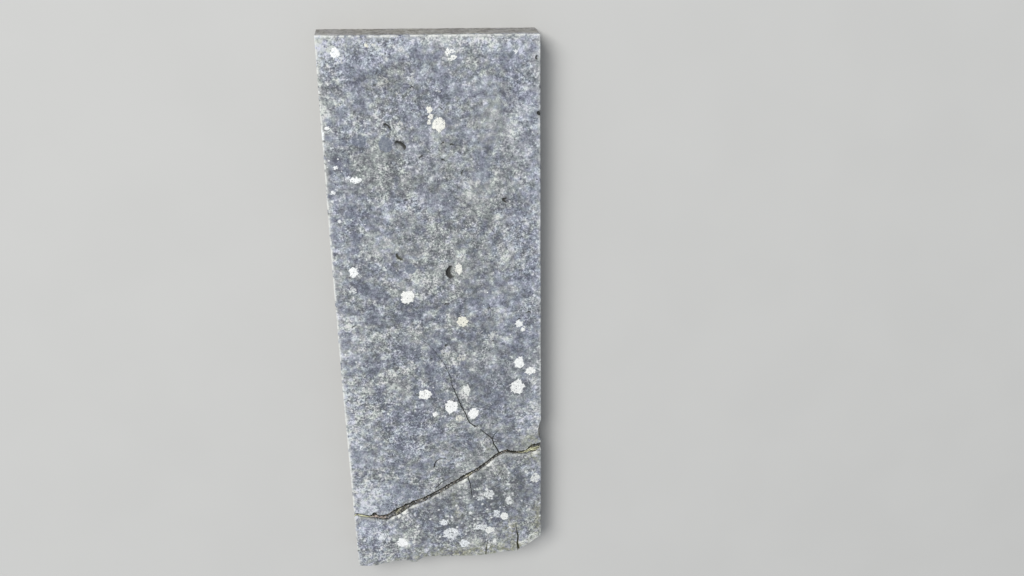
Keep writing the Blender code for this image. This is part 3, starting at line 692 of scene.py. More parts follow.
def paintFragment(obj, settings, place, gaps, side, crustDepth, crustNumber, dark, x, y):
    # What the stone's material reads at each point
    below = slabThickness - place[:, 2]
    onTop = np.clip(1 - (below - 3 * mm) / (6 * mm), 0, 1)
    paint(obj, "crust", np.clip(0.5 + crustDepth / (8 * mm), 0, 1) * onTop)
    paint(obj, "crustTone", np.array([item[4] for item in crustPlaces])[crustNumber])
    paint(obj, "crustGrowth", np.array([item[5] for item in crustPlaces])[crustNumber])
    blotchDepth, blotchNumber = patchesAt(x, y, blotchPlaces, blotchSeed)
    paint(obj, "blotch", np.clip(0.5 + blotchDepth / (10 * mm), 0, 1) * onTop)
    paint(obj, "blotchStrength", np.array([item[4] for item in blotchPlaces])[blotchNumber])
    # The head piece's broken wall is painted dark as shade, since it faces away from the light
    if "breakWallShade" in settings:
        dark = np.where(side == settings["lipSide"], settings["breakWallShade"], dark)
    # Dirt and painted shade from the cracks, hollows and broken wall, fading down the walls
    paint(obj, "dirtAndPaintedShade", dark * np.clip(1.4 - below / (22 * mm), 0, 1))
    broad = spotsAt(x, y, broadTones) / toneStep
    paint(obj, "broadTone", broad)
    paint(obj, "warmth", spotsAt(x, y, warmSpots) / warmStep - paleIsBlue * broad)
    paint(obj, "coarseness", 1 + spotsAt(x, y, coarseSpots))
    paint(obj, "sprinkle", 0.02 + spotsAt(x, y, dotSpots))

    # The pale worn arris with painted highlight, strongest on edges facing the light, the bright lips of the
    # foot piece, fresh stone with painted highlight, and the moss along the break
    wall = side != "top"
    arris = np.zeros(len(x))
    for name, strength in settings["arrisWearAndHighlight"].items():
        near = np.exp(-np.maximum(gaps[name], 0) / settings["arrisReach"]) * strength
        arris = np.maximum(arris, np.where(wall & (side != name), 0, near))
    if "lipReach" in settings:
        lipGap = np.maximum(np.minimum(gaps["far"], gaps["near"]), 0)
        lip = np.exp(-lipGap / settings["lipReach"]) * (0.12 + spotsAt(x, y, freshAndHighlitLipSpots))
        arris = np.where(wall & (side != "far"), arris, np.maximum(arris, lip))
    paint(obj, "arris", arris * np.clip(1 - (below - 5 * mm) / (8 * mm), 0, 1))
    mossy = np.exp(-np.abs(gaps[settings["lipSide"]]) / stoneFace["mossReach"])
    mossy = mossy * (0.25 + 0.5 * smoothStep(x, 0.22, 0.29))
    paint(obj, "moss", np.clip(np.maximum(mossy, spotsAt(x, y, greenSpots)), 0, 1))


def makeFragment(name, settings):
    tree = surfaceTree(settings["node"])
    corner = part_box(settings["node"])
    outline = outlineOf(settings, tree, stoneFace["arrisDepth"])
    meanLength = float(np.mean(outline["far"][1] - outline["near"][1]))
    columnStops = gridStops(slabWidth, settings["cell"])
    rowStops = gridStops(meanLength, settings["cell"])
    columns = len(columnStops) - 1
    rows = len(rowStops) - 1

    # A flat grid of unit size, whose cells are placed last
    deselectAll()
    bpy.ops.mesh.primitive_grid_add(x_subdivisions=columns, y_subdivisions=rows, size=1)
    obj = bpy.context.object
    obj.name = name
    obj.data.name = name

    def sharesOf(flat):
        across = np.interp((flat[:, 0] + 0.5) * columns, np.arange(columns + 1), columnStops)
        along = np.interp((flat[:, 1] + 0.5) * rows, np.arange(rows + 1), rowStops)
        return across, along

    # Finer cells at cracks, hollows, crusts and the lips of the break, and finer again along the cracks
    finer = stoneFace["finer"]
    for broad in (True, False):
        x, y = placeAt(outline, *sharesOf(faceMiddles(obj)))
        crackDepth, crackDirtAndShade = cracksAt(x, y)
        chosen = (crackDirtAndShade > 0) | (crackDepth > 0)
        if broad:
            gaps = gapsTo(outline, x, y)
            chosen |= hollowsAt(x, y)[0] > finer["hollow"]
            chosen |= np.abs(patchesAt(x, y, crustPlaces, crustSeed)[0]) < finer["crust"]
            for side in settings["brokenSides"]:
                chosen |= gaps[side] < finer["lip"]
        selectFaces(obj, chosen)
        bpy.ops.mesh.subdivide(number_cuts=1, ngon=False)
        bpy.ops.object.mode_set(mode="OBJECT")
    extrudeWalls(len(stoneFace["wallDepths"]) + 1)

    # The real places
    flat = vertPlaces(obj)
    level = np.rint(-flat[:, 2]).astype(int)
    across, along = sharesOf(flat)
    x, y = placeAt(outline, across, along)
    gaps = gapsTo(outline, x, y)
    z, crustDepth, crustNumber, dark = topRelief(x, y, gaps)
    topLevel = np.minimum(z, corner[1].z - 0.05 * mm)
    wall = level > 0
    place = np.column_stack((x, y, topLevel))
    side = np.full(len(x), "top", dtype="<U5")
    wallX, wallY, wallZ, side[wall] = wallPlaces(settings, tree, outline, across[wall], along[wall],
                                                 level[wall], topLevel[wall])
    place[wall] = np.column_stack((wallX, wallY, wallZ))
    bottom = level == len(stoneFace["wallDepths"]) + 1
    place[bottom, 2] = 0
    place = np.clip(place, np.array(corner[0]) + 0.02 * mm, np.array(corner[1]) - 0.02 * mm)
    place[bottom, 2] = corner[0].z
    obj.data.vertices.foreach_set("co", place.ravel())
    obj.data.update()
    paintFragment(obj, settings, place, gaps, side, crustDepth, crustNumber, dark, x, y)

    pickOnly(obj)
    bpy.ops.object.shade_smooth_by_angle(angle=math.radians(stoneFace["smoothAngle"]))
    triangles = sum(len(face.vertices) - 2 for face in obj.data.polygons)
    print(name, "faces", len(obj.data.polygons), "triangles", triangles)
    return obj, outline


# Node helpers for the materials
def newMaterial(name):
    material = bpy.data.materials.new(name)
    material.use_nodes = True
    tree = material.node_tree
    coordinates = tree.nodes.new("ShaderNodeTexCoord")
    return material, tree, tree.nodes["Principled BSDF"], coordinates.outputs["Object"]


def plug(tree, value, socket):  # a number or colour is set, and an output is linked
    if isinstance(value, bpy.types.NodeSocket):
        tree.links.new(value, socket)
    elif hasattr(value, "__len__") and len(value) == 3 and socket.type == "RGBA":
        socket.default_value = (*value, 1)
    else:
        socket.default_value = value


def noiseNode(tree, place, scale, detail=0.0, roughness=0.5, distortion=0.0):
    node = tree.nodes.new("ShaderNodeTexNoise")
    plug(tree, place, node.inputs["Vector"])
    node.inputs["Scale"].default_value = scale
    node.inputs["Detail"].default_value = detail
    node.inputs["Roughness"].default_value = roughness
    node.inputs["Distortion"].default_value = distortion
    return node


def noiseAt(tree, place, *settings):
    return noiseNode(tree, place, *settings).outputs["Fac"]


def reckon(tree, operation, first, second, clamp=False):
    node = tree.nodes.new("ShaderNodeMath")
    node.operation = operation
    node.use_clamp = clamp
    plug(tree, first, node.inputs[0])
    plug(tree, second, node.inputs[1])
    return node.outputs[0]


def plus(tree, first, second, clamp=False):
    return reckon(tree, "ADD", first, second, clamp)


def minus(tree, first, second):
    return reckon(tree, "SUBTRACT", first, second)


def times(tree, first, second, clamp=False):
    return reckon(tree, "MULTIPLY", first, second, clamp)


def waver(tree, place, scale, detail, amount):  # noise that goes as far below zero as above it
    return times(tree, minus(tree, noiseAt(tree, place, scale, detail), 0.5), amount)


def spread(tree, value, start, end, low=0.0, high=1.0):  # smooth step between two values
    node = tree.nodes.new("ShaderNodeMapRange")
    node.interpolation_type = "SMOOTHSTEP"
    plug(tree, value, node.inputs["Value"])
    for name, number in (("From Min", start), ("From Max", end), ("To Min", low), ("To Max", high)):
        node.inputs[name].default_value = number
    return node.outputs["Result"]


def blend(tree, share, first, second, way="MIX"):
    node = tree.nodes.new("ShaderNodeMix")
    node.data_type = "RGBA"
    node.blend_type = way
    colours = [socket for socket in node.inputs if socket.type == "RGBA"]
    plug(tree, share, node.inputs["Factor"])
    plug(tree, first, colours[0])
    plug(tree, second, colours[1])
    return node.outputs[2]


def ramp(tree, value, stops):
    node = tree.nodes.new("ShaderNodeValToRGB")
    plug(tree, value, node.inputs["Fac"])
    points = node.color_ramp.elements
    while len(points) < len(stops):
        points.new(0.5)
    for point, (position, colour) in zip(points, stops):
        point.position = position
        point.color = (*colour, 1)
    return node.outputs["Color"]


def cellsAt(tree, place, scale):  # round cells: the way to the nearest middle, and two random numbers of it
    node = tree.nodes.new("ShaderNodeTexVoronoi")
    plug(tree, place, node.inputs["Vector"])
    node.inputs["Scale"].default_value = scale
    split = tree.nodes.new("ShaderNodeSeparateColor")
    tree.links.new(node.outputs["Color"], split.inputs[0])
    return node.outputs["Distance"], split.outputs["Red"], split.outputs["Green"]


def vectorStep(tree, operation, first, second):
    node = tree.nodes.new("ShaderNodeVectorMath")
    node.operation = operation
    plug(tree, first, node.inputs[0])
    plug(tree, second, node.inputs["Scale"] if operation == "SCALE" else node.inputs[1])
    return node.outputs[0]


def warped(tree, place, scale, amount):  # places pushed about, so that a pattern on them is uneven
    push = noiseNode(tree, place, scale, 2).outputs["Color"]
    shift = vectorStep(tree, "SCALE", vectorStep(tree, "SUBTRACT", push, (0.5, 0.5, 0.5)), amount)
    return vectorStep(tree, "ADD", place, shift)


def painted(tree, name):
    node = tree.nodes.new("ShaderNodeAttribute")
    node.attribute_name = name
    return node.outputs["Fac"]


def giveBump(tree, shader, height, strength, distance):
    bump = tree.nodes.new("ShaderNodeBump")
    bump.inputs["Strength"].default_value = strength
    bump.inputs["Distance"].default_value = distance
    tree.links.new(height, bump.inputs["Height"])
    tree.links.new(bump.outputs["Normal"], shader.inputs["Normal"])


# The stone's tones, from its darkest grain to its palest film
stoneTones = [
    (0.14, (0.095, 0.103, 0.122)), (0.22, (0.122, 0.132, 0.152)), (0.33, (0.157, 0.169, 0.195)),
    (0.42, (0.192, 0.207, 0.234)), (0.50, (0.230, 0.247, 0.274)), (0.58, (0.271, 0.290, 0.318)),
    (0.67, (0.327, 0.349, 0.381)), (0.79, (0.432, 0.458, 0.492)), (0.92, (0.590, 0.614, 0.640)),
]
stoneGrain = [(340, 0.58), (200, 0.59), (100, 0.53)]  # scale and amount
stoneMottle = [(48, 0.44), (24, 0.42), (11, 0.26), (5, 0.12)]
broadMottle = 30  # the scale under which a mottle also warms the tint
# Pale films and dark bare places with crisp ragged edges: scale, where each starts and ends, and tones
stoneFilms = [
    (10, 0.50, 0.56, 0.045), (21, 0.51, 0.57, 0.075), (46, 0.53, 0.59, 0.100), (95, 0.54, 0.61, 0.115),
    (170, 0.56, 0.64, 0.120), (17, 0.45, 0.39, -0.065), (38, 0.44, 0.38, -0.060), (70, 0.43, 0.37, -0.075),
    (130, 0.43, 0.36, -0.095),
]
broadFilm = 60  # the scale under which a film counts as broad
stoneColours = {
    "cool": (0.955, 0.968, 1.055),  # the two tints that the tones are multiplied by, and the next two
    "warm": (1.045, 1.032, 0.945),
    "violet": (1.015, 0.985, 1.015),
    "greenish": (0.985, 1.013, 0.985),
    "blotch": [(0.36, (0.104, 0.122, 0.166)), (0.50, (0.142, 0.162, 0.210)), (0.64, (0.200, 0.222, 0.268))],
    "growth": [(0.38, (0.135, 0.138, 0.085)), (0.50, (0.255, 0.256, 0.185)), (0.62, (0.460, 0.455, 0.355))],
    "wornAndHighlitArris": (0.66, 0.67, 0.64),
    "thinCrust": (0.84, 0.88, 0.92),
    "thickCrust": (0.93, 0.945, 0.945),
    "creamCrust": (0.83, 0.815, 0.70),
    "granuleGap": (0.46, 0.465, 0.45),
    "fruit": (0.22, 0.22, 0.20),
    "dot": (0.74, 0.76, 0.76),
    "pitShade": (0.060, 0.062, 0.060),
    "soilStain": (0.150, 0.133, 0.108),
    "soilPale": (0.330, 0.312, 0.278),
    "soilCrumb": (0.085, 0.072, 0.055),
    # the dark of dirt and painted shade in cracks, hollows and on the broken wall, greener where mossy
    "shadeAndDirt": (0.040, 0.041, 0.039),
    "mossyShadeAndDirt": (0.095, 0.094, 0.048),
}
tideLine = (9 * mm, 24 * mm, 0.03)  # where the walls' soil starts and is full, and how far the line wanders


def stoneTint(tree, place, colour, broadFilms, smallFilms):
    # Blue and warm, then violet and green: the pale films are a little warmer
    tint = plus(tree, noiseAt(tree, place, 26, 1), times(tree, noiseAt(tree, place, 5.5, 2), 1.2))
    tint = plus(tree, times(tree, noiseAt(tree, place, 62), 0.8), tint)
    tint = plus(tree, spread(tree, tint, 1.27, 1.73, 0.08, 0.92), painted(tree, "warmth"))
    tint = plus(tree, tint, times(tree, broadFilms, 0.6))
    tint = plus(tree, tint, times(tree, smallFilms, 0.4), True)
    tintColour = blend(tree, tint, stoneColours["cool"], stoneColours["warm"])
    colour = blend(tree, 1.0, colour, tintColour, "MULTIPLY")
    green = spread(tree, plus(tree, noiseAt(tree, place, 40, 1), noiseAt(tree, place, 85)), 0.75, 1.25)
    greenColour = blend(tree, green, stoneColours["violet"], stoneColours["greenish"])
    return blend(tree, 1.0, colour, greenColour, "MULTIPLY")


def stoneCrusts(tree, place, colour):  # crusts of lichen, with their gaps, granules and small dark fruits
    growth = painted(tree, "crustGrowth")
    edge = plus(tree, waver(tree, place, 290, 2, 1.0), waver(tree, place, 120, 3, 2.0))
    crust = spread(tree, plus(tree, painted(tree, "crust"), edge), 0.45, 0.56)
    holes = spread(tree, plus(tree, noiseAt(tree, place, 170, 2), times(tree, growth, 0.17)), 0.46, 0.55)
    crust = times(tree, times(tree, crust, holes), spread(tree, growth, 0.0, 0.9, 0.2, 1.0))
    lobe, _, _ = cellsAt(tree, warped(tree, place, 110, 5 * mm), 185)
    gaps = times(tree, spread(tree, lobe, 0.36, 0.60), spread(tree, growth, 1.0, 0.65, 0.05, 0.50))
    crust = times(tree, crust, minus(tree, 1.0, gaps))

    creamy = painted(tree, "crustTone")
    granules = noiseAt(tree, place, 420, 2, 0.6)
    thick = spread(tree, growth, 0.72, 0.98)
    crustColour = blend(tree, thick, stoneColours["thinCrust"], stoneColours["thickCrust"])
    crustColour = blend(tree, creamy, crustColour, stoneColours["creamCrust"])
    between = spread(tree, granules, 0.60, 0.36, 0.0, 0.55)
    crustColour = blend(tree, between, crustColour, stoneColours["granuleGap"])
    fruit, pick, _ = cellsAt(tree, warped(tree, place, 90, 4 * mm), 135)
    fruit = times(tree, spread(tree, fruit, 0.26, 0.14), spread(tree, pick, 0.35, 0.55, 0.0, 0.8))
    fruit = times(tree, fruit, spread(tree, creamy, -0.1, 0.7, 0.15, 1.0))
    crustColour = blend(tree, fruit, crustColour, stoneColours["fruit"])
    return blend(tree, crust, colour, crustColour), times(tree, crust, granules)


def stoneWallSoil(tree, place, colour):  # soil on the walls, under a ragged tide line
    height = tree.nodes.new("ShaderNodeSeparateXYZ")
    tree.links.new(place, height.inputs[0])
    start, full, wander = tideLine
    level = plus(tree, height.outputs["Z"], waver(tree, place, 22, 3, wander))
    buried = spread(tree, level, slabThickness - start, slabThickness - full)
    pale = spread(tree, noiseAt(tree, place, 60, 5, 0.72), 0.38, 0.64)
    soil = blend(tree, pale, stoneColours["soilStain"], stoneColours["soilPale"])
    crumb, pick, _ = cellsAt(tree, warped(tree, place, 150, 4 * mm), 120)
    crumb = times(tree, spread(tree, crumb, 0.40, 0.25), spread(tree, pick, 0.62, 0.80, 0.0, 0.8))
    soil = blend(tree, crumb, soil, stoneColours["soilCrumb"])
    return blend(tree, times(tree, buried, 0.72), colour, soil)


def stoneMaterial(name, level, contrast, greener):
    material, tree, shader, place = newMaterial(name)
    uneven = warped(tree, place, 45, 16 * mm)

    # Mottled stone, roughest where a film of lichen grows
    film = spread(tree, noiseAt(tree, place, 13, 3, 0.6, 0.4), 0.42, 0.60, 0.65, 1.30)
    rough = 0.0
    for scale, amount in stoneGrain:
        rough = plus(tree, waver(tree, place, scale, 0.6, amount * contrast), rough)
    rough = times(tree, rough, painted(tree, "coarseness"))
    tone = plus(tree, times(tree, rough, film), level)
    tone = plus(tree, tone, painted(tree, "broadTone"))
    broadFilms = 0.0
    smallFilms = 0.0
    for scale, amount in stoneMottle:
        band = waver(tree, place, scale, 0.6, amount * contrast)
        if scale < broadMottle:
            broadFilms = plus(tree, band, broadFilms)
        else:
            tone = plus(tree, tone, band)
    for scale, start, end, amount in stoneFilms:
        patch = spread(tree, noiseAt(tree, place, scale, 4, 0.62, 0.5), start, end, 0.0, amount * contrast)
        if scale < broadFilm:
            broadFilms = plus(tree, patch, broadFilms)
        else:
            smallFilms = plus(tree, patch, smallFilms)
    smallFilms = times(tree, smallFilms, painted(tree, "coarseness"))
    tone = plus(tree, tone, plus(tree, broadFilms, smallFilms))

    # Rounds: thin rosettes of grey lichen, and darker round scars
    reach, pick, _ = cellsAt(tree, uneven, 27)
    rosette = minus(tree, spread(tree, reach, 0.34, 0.26), spread(tree, reach, 0.17, 0.10, 0.0, 0.6))
    tone = plus(tree, tone, times(tree, rosette, spread(tree, pick, 0.55, 0.95, 0.0, 0.13)))
    reach, pick, _ = cellsAt(tree, uneven, 19)
    scar = times(tree, spread(tree, reach, 0.29, 0.22), spread(tree, pick, 0.6, 0.95, 0.0, -0.10))
    tone = plus(tree, tone, scar)
    colour = stoneTint(tree, place, ramp(tree, tone, stoneTones), broadFilms, smallFilms)

    # Dark blotches
    blotch = spread(tree, plus(tree, painted(tree, "blotch"), waver(tree, place, 110, 3, 0.9)), 0.42, 0.62)
    blotch = times(tree, blotch, painted(tree, "blotchStrength"))
    blotchColour = ramp(tree, noiseAt(tree, place, 190, 3, 0.65), stoneColours["blotch"])
    colour = blend(tree, times(tree, blotch, 0.82), colour, blotchColour)

    # Green and brown growth
    green = times(tree, painted(tree, "moss"), spread(tree, noiseAt(tree, place, 85, 4, 0.6), 0.34, 0.66))
    growthColour = ramp(tree, noiseAt(tree, place, 120, 3), stoneColours["growth"])
    colour = blend(tree, times(tree, green, greener), colour, growthColour)

    # The pale worn arris and the bright lip of the break: wear and fresh stone, with painted highlight
    worn = times(tree, painted(tree, "arris"), spread(tree, noiseAt(tree, place, 75, 3), 0.34, 0.58))
    colour = blend(tree, times(tree, worn, 0.9, True), colour, stoneColours["wornAndHighlitArris"])
    colour, crustGrain = stoneCrusts(tree, place, colour)

    # Small white dots, thickest where sprinkled, and small pits painted dark as shade
    reach, pick, size = cellsAt(tree, warped(tree, place, 160, 7 * mm), 70)
    chosen = spread(tree, plus(tree, pick, times(tree, painted(tree, "sprinkle"), 0.5)), 0.97, 1.1)
    reach = plus(tree, reach, times(tree, size, 0.18))
    dots = times(tree, spread(tree, reach, 0.42, 0.24), chosen)
    colour = blend(tree, times(tree, dots, 0.85), colour, stoneColours["dot"])
    reach, pick, _ = cellsAt(tree, uneven, 78)
    pits = times(tree, spread(tree, reach, 0.20, 0.10), spread(tree, pick, 0.60, 0.90, 0.0, 0.75))
    colour = blend(tree, pits, colour, stoneColours["pitShade"])

    # Soil on the walls, then dirt and painted shade in cracks, hollows and on the head piece's broken wall
    colour = stoneWallSoil(tree, place, colour)
    shadeAndDirtColour = blend(tree, painted(tree, "moss"), stoneColours["shadeAndDirt"], stoneColours["mossyShadeAndDirt"])
    colour = blend(tree, spread(tree, painted(tree, "dirtAndPaintedShade"), 0.1, 0.85), colour, shadeAndDirtColour)
    tree.links.new(colour, shader.inputs["Base Color"])

    dull = plus(tree, times(tree, noiseAt(tree, place, 130, 2), 0.22), 0.68)
    tree.links.new(dull, shader.inputs["Roughness"])
    shader.inputs["Specular IOR Level"].default_value = 0.35
    grain = times(tree, noiseAt(tree, place, 300, 3, 0.6), 0.7)
    grain = plus(tree, grain, times(tree, noiseAt(tree, place, 90, 2), 0.8))
    grain = plus(tree, grain, times(tree, crustGrain, 1.2))
    grain = minus(tree, grain, times(tree, pits, 1.5))
    giveBump(tree, shader, grain, 0.55, 0.9 * mm)
    return material


# The soil between the fragments: its grains, moss, the gaps between grains painted dark as shade, and the
# painted shade along the walls
fillColours = {
    "grains": [(0.15, (0.065, 0.067, 0.073)), (0.45, (0.150, 0.154, 0.165)), (0.70, (0.255, 0.258, 0.266)),
               (0.95, (0.470, 0.460, 0.430))],
    "moss": [(0.20, (0.060, 0.060, 0.028)), (0.55, (0.190, 0.185, 0.100)), (0.90, (0.540, 0.510, 0.340))],
    "gap": (0.024, 0.024, 0.022),
    "pinkGrit": (0.50, 0.41, 0.36),
    "shade": (0.022, 0.022, 0.018),
}


def soilMaterial(name):
    material, tree, shader, place = newMaterial(name)
    reach, pick, _ = cellsAt(tree, warped(tree, place, 130, 4 * mm), 235)
    grains = plus(tree, pick, times(tree, noiseAt(tree, place, 60, 2), 0.6))
    colour = ramp(tree, minus(tree, grains, 0.3), fillColours["grains"])
    moss = spread(tree, plus(tree, noiseAt(tree, place, 38, 3), painted(tree, "moss")), 0.58, 0.85)
    colour = blend(tree, times(tree, moss, 0.85), colour, ramp(tree, pick, fillColours["moss"]))
    # The gaps between the grains are painted near black, as shade
    colour = blend(tree, spread(tree, reach, 0.36, 0.66, 0.0, 0.80), colour, fillColours["gap"])
    pink = spread(tree, plus(tree, noiseAt(tree, place, 120, 2), painted(tree, "pinkGrit")), 0.80, 1.05)
    colour = blend(tree, pink, colour, fillColours["pinkGrit"])
    shade = spread(tree, plus(tree, painted(tree, "shade"), waver(tree, place, 95, 3, 1.6)), 0.35, 0.75)
    colour = blend(tree, times(tree, shade, 0.93), colour, fillColours["shade"])
    tree.links.new(colour, shader.inputs["Base Color"])
    dull = spread(tree, noiseAt(tree, place, 200, 2), 0.2, 0.8, 0.85, 1.0)
    tree.links.new(dull, shader.inputs["Roughness"])
    shader.inputs["Specular IOR Level"].default_value = 0.2
    giveBump(tree, shader, noiseAt(tree, place, 420, 4, 0.7), 0.8, 1 * mm)
    return material


def gritMaterial(name, dark, pale):
    material, tree, shader, place = newMaterial(name)
    colour = blend(tree, spread(tree, noiseAt(tree, place, 210, 3), 0.35, 0.65), dark, pale)
    tree.links.new(colour, shader.inputs["Base Color"])
    dull = spread(tree, noiseAt(tree, place, 300, 2), 0.2, 0.8, 0.6, 0.9)
    tree.links.new(dull, shader.inputs["Roughness"])
    giveBump(tree, shader, noiseAt(tree, place, 700, 3), 0.5, 0.4 * mm)
    return material


def wallGap(x, middle, z, footTree, headTree):  # the two walls of the break at one place
    toFoot = hitAlong(footTree, (x, middle, z), (0, -1, 0), 30 * mm, 6 * mm)
    toHead = hitAlong(headTree, (x, middle, z), (0, 1, 0), 30 * mm, 6 * mm)
    return middle - toFoot, middle + toHead


def breakMiddle(x, headOutline, footOutline):
    return (np.interp(x, *headOutline["near"]) + np.interp(x, *footOutline["far"])) / 2


def makeBreakFill(headOutline, footOutline):
    settings = breakFill
    headTree = surfaceTree(headPiece["node"])
    footTree = surfaceTree(footPiece["node"])
    columns = round((slabWidth - 2 * settings["ends"]) / settings["cell"])
    xs = np.linspace(boxLow.x + settings["ends"] + 4 * mm, boxHigh.x - settings["ends"], columns + 1)
    middle = breakMiddle(xs, headOutline, footOutline)
    walls = []
    for depth in (settings["faceDepth"], *settings["depths"]):
        z = slabThickness - depth
        pairs = np.array([wallGap(x, y, z, footTree, headTree) for x, y in zip(xs, middle)])
        walls.append((middleOf(pairs[:, 0], 5) + settings["gap"], middleOf(pairs[:, 1], 5) - settings["gap"]))

    deselectAll()
    bpy.ops.mesh.primitive_grid_add(x_subdivisions=columns, y_subdivisions=settings["rows"], size=1)
    obj = bpy.context.object
    obj.name = "breakSoil"
    extrudeWalls(len(settings["depths"]))

    flat = vertPlaces(obj)
    level = np.rint(-flat[:, 2]).astype(int)
    x = np.interp(flat[:, 0] + 0.5, np.linspace(0, 1, len(xs)), xs)
    share = flat[:, 1] + 0.5
    y = np.zeros(len(x))
    z = np.zeros(len(x))
    for number, (footWall, headWall) in enumerate(walls):
        row = level == number
        foot = np.interp(x[row], xs, footWall)
        head = np.maximum(np.interp(x[row], xs, headWall), foot + 1 * mm)
        y[row] = foot + (head - foot) * share[row]

    # A lumpy crown that sinks to the walls and at both ends
    top = level == 0
    points = flatPoints(x, y)
    lumps = ripple(points, 31, 0.012) * 0.6 + ripple(points, 33, 0.0045, 2) * 0.5
    crown = 1 - np.abs(2 * share - 1) ** 2.2
    drop, reach = settings["endDrop"]
    ends = smoothStep(np.minimum(x - xs[0], xs[-1] - x), 0.0, reach)
    sink = settings["edgeSink"] + (settings["sink"] - settings["edgeSink"]) * crown
    sink = sink + (1 - ends) * drop - settings["lump"] * lumps * (0.3 + 0.7 * crown)
    z[top] = (faceLevel(x, y) - np.maximum(sink, 1.2 * mm))[top]
    for number, depth in enumerate(settings["depths"], 1):
        z[level == number] = slabThickness - depth - settings["lowest"]
    obj.data.vertices.foreach_set("co", np.column_stack((x, y, z)).ravel())
    obj.data.update()

    # What its material reads: the shade along the walls, moss, and pink grit near the left end
    footWall, headWall = walls[0]
    wallWay = np.minimum(share, 1 - share) * (np.interp(x, xs, headWall) - np.interp(x, xs, footWall))
    paint(obj, "shade", np.where(top, smoothStep(wallWay, settings["shadeEnd"], settings["shadeStart"]), 1.0))
    paint(obj, "moss", 0.04 + spotsAt(x, y, settings["mossSpots"]))
    first, last, soft, strength = settings["pinkGrit"]
    left = breakX(first)
    right = breakX(last)
    paint(obj, "pinkGrit", strength * smoothStep(x, left - soft, left) * smoothStep(x, right + soft, right))
    bpy.ops.object.shade_smooth_by_angle(angle=math.radians(settings["smoothAngle"]))
    return obj, np.column_stack((x, y, z))[top]


def joinAll(pieces, name):
    deselectAll()
    for piece in pieces:
        piece.select_set(True)
    bpy.context.view_layer.objects.active = pieces[0]
    bpy.ops.object.join()
    joined = bpy.context.object
    joined.name = name
    return joined


def makeGrit(surface):
    dice = random.Random(grit["seed"])
    crumbs = []
    for _ in range(grit["count"]):
        place = surface[dice.randrange(len(surface))]
        size = dice.uniform(grit["least"], grit["most"])
        deselectAll()
        bpy.ops.mesh.primitive_ico_sphere_add(subdivisions=1, radius=size, location=(0, 0, 0))
        crumb = bpy.context.object
        stretch = [dice.uniform(0.6, 1.15), dice.uniform(0.6, 1.0), dice.uniform(0.45, 0.8)]
        turn = Euler([dice.uniform(0, math.tau) for _ in range(3)]).to_matrix()
        for vert in crumb.data.vertices:
            knock = dice.uniform(0.78, 1.1)
            vert.co = turn @ Vector([vert.co[i] * stretch[i] * knock for i in range(3)])
            vert.co += Vector(place) + Vector((0, 0, size * 0.1))
        crumbs.append(crumb)
    return joinAll(crumbs, "breakGrit")


def makeStraws(headOutline, footOutline):
    settings = strawForm
    blades = []
    for number, straw in enumerate(straws):
        first = breakX(straw["from"])
        last = breakX(straw["to"])
        curve = bpy.data.curves.new("straw", "CURVE")
        curve.dimensions = "3D"
        curve.bevel_depth = straw["radius"]
        curve.bevel_resolution = 1
        curve.use_fill_caps = True
        spline = curve.splines.new("POLY")
        spline.points.add(settings["stops"] - 1)
        for stop in range(settings["stops"]):
            share = stop / (settings["stops"] - 1)
            x = first + (last - first) * share
            x = min(max(x, boxLow.x + settings["ends"]), boxHigh.x - settings["ends"])
            middle = breakMiddle(x, headOutline, footOutline)
            y = middle + straw["off"][0] * (1 - share) + straw["off"][1] * share
            sag = settings["sag"] * math.sin(2.2 * share + number)
            spline.points[stop].co = (x, y, slabThickness - straw["radius"] - settings["sink"] + sag, 1)
            spline.points[stop].radius = 1 - 0.6 * abs(2 * share - 0.8)
        blade = bpy.data.objects.new("straw", curve)
        bpy.context.scene.collection.objects.link(blade)
        pickOnly(blade)
        bpy.ops.object.convert(target="MESH")
        blades.append(bpy.context.object)
    obj = joinAll(blades, "dryStraw")
    bpy.ops.object.mode_set(mode="EDIT")
    bpy.ops.mesh.select_all(action="SELECT")
    bpy.ops.mesh.remove_doubles(threshold=0.01 * mm)
    bpy.ops.mesh.normals_make_consistent(inside=False)
    bpy.ops.object.mode_set(mode="OBJECT")
    return obj


def giveMaterial(obj, material):
    obj.data.materials.clear()
    obj.data.materials.append(material)


# The camera, the floor and the lights
studio = {
    "floorSize": 60.0,
    "floorLevel": -0.5 * mm,
    "floorColour": (0.51, 0.51, 0.50),
    "floorPaler": 1.02,  # in faint patches
    "world": (0.66, 0.69, 0.73),
    "worldStrength": 0.62,
    "keyPlace": (-10.5, 12.5, 18.75),
    "keySize": 12.5,
    "keyPower": 6625.0,
    "keyColour": (1.0, 0.985, 0.96),
}


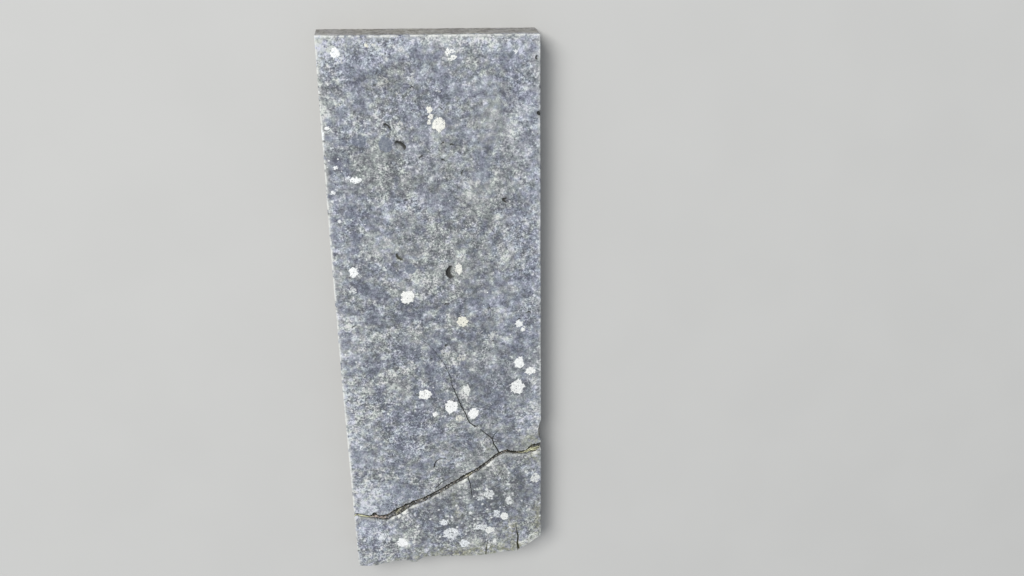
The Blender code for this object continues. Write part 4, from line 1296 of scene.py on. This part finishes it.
def makeStudio():
    camera = bpy.data.objects.new("photoCamera", bpy.data.cameras.new("photoCamera"))
    bpy.context.scene.collection.objects.link(camera)
    camera.location = photoView["place"]
    camera.rotation_euler = [math.radians(angle) for angle in photoView["turn"]]
    camera.data.sensor_width = photoView["sensor"]
    camera.data.lens = photoView["sensor"] * photoView["focal"] / photoView["columns"]
    bpy.context.scene.camera = camera

    deselectAll()
    bpy.ops.mesh.primitive_plane_add(size=studio["floorSize"], location=(0, 0, studio["floorLevel"]))
    floor = bpy.context.object
    floor.name = "floor"
    material, tree, shader, place = newMaterial("palePlaster")
    faint = spread(tree, noiseAt(tree, place, 3, 2), 0.3, 0.7)
    paler = [channel * studio["floorPaler"] for channel in studio["floorColour"]]
    colour = blend(tree, faint, studio["floorColour"], paler)
    tree.links.new(colour, shader.inputs["Base Color"])
    shader.inputs["Roughness"].default_value = 0.9
    giveMaterial(floor, material)

    world = bpy.data.worlds.new("softSky")
    world.use_nodes = True
    sky = world.node_tree.nodes["Background"]
    sky.inputs["Color"].default_value = (*studio["world"], 1)
    sky.inputs["Strength"].default_value = studio["worldStrength"]
    bpy.context.scene.world = world

    lamp = bpy.data.lights.new("softKey", "AREA")
    lamp.size = studio["keySize"]
    lamp.energy = studio["keyPower"]
    lamp.color = studio["keyColour"]
    key = bpy.data.objects.new("softKey", lamp)
    bpy.context.scene.collection.objects.link(key)
    key.location = studio["keyPlace"]
    key.rotation_euler = (-Vector(studio["keyPlace"])).to_track_quat("-Z", "Y").to_euler()
    bpy.context.scene.view_settings.view_transform = "Standard"
    print("studio ready")


makeStudio()
headStone, headOutline = makeFragment("headFragment", headPiece)
footStone, footOutline = makeFragment("footFragment", footPiece)
giveMaterial(headStone, stoneMaterial("lichenedLimestone", **headPiece["tones"]))
giveMaterial(footStone, stoneMaterial("footLimestone", **footPiece["tones"]))
soil, soilSurface = makeBreakFill(headOutline, footOutline)
giveMaterial(soil, soilMaterial("mossySoil"))
crumbs = makeGrit(soilSurface)
giveMaterial(crumbs, gritMaterial("limestoneGrit", *grit["colours"]))
dryStraw = makeStraws(headOutline, footOutline)
giveMaterial(dryStraw, gritMaterial("dryStraw", *strawForm["colours"]))
print("soil, grit and straw made")

for piece, settings in ((headStone, headPiece), (footStone, footPiece)):
    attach(piece, "root")
    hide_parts(settings["node"])
for piece in (soil, crumbs, dryStraw):
    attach(piece, "root")
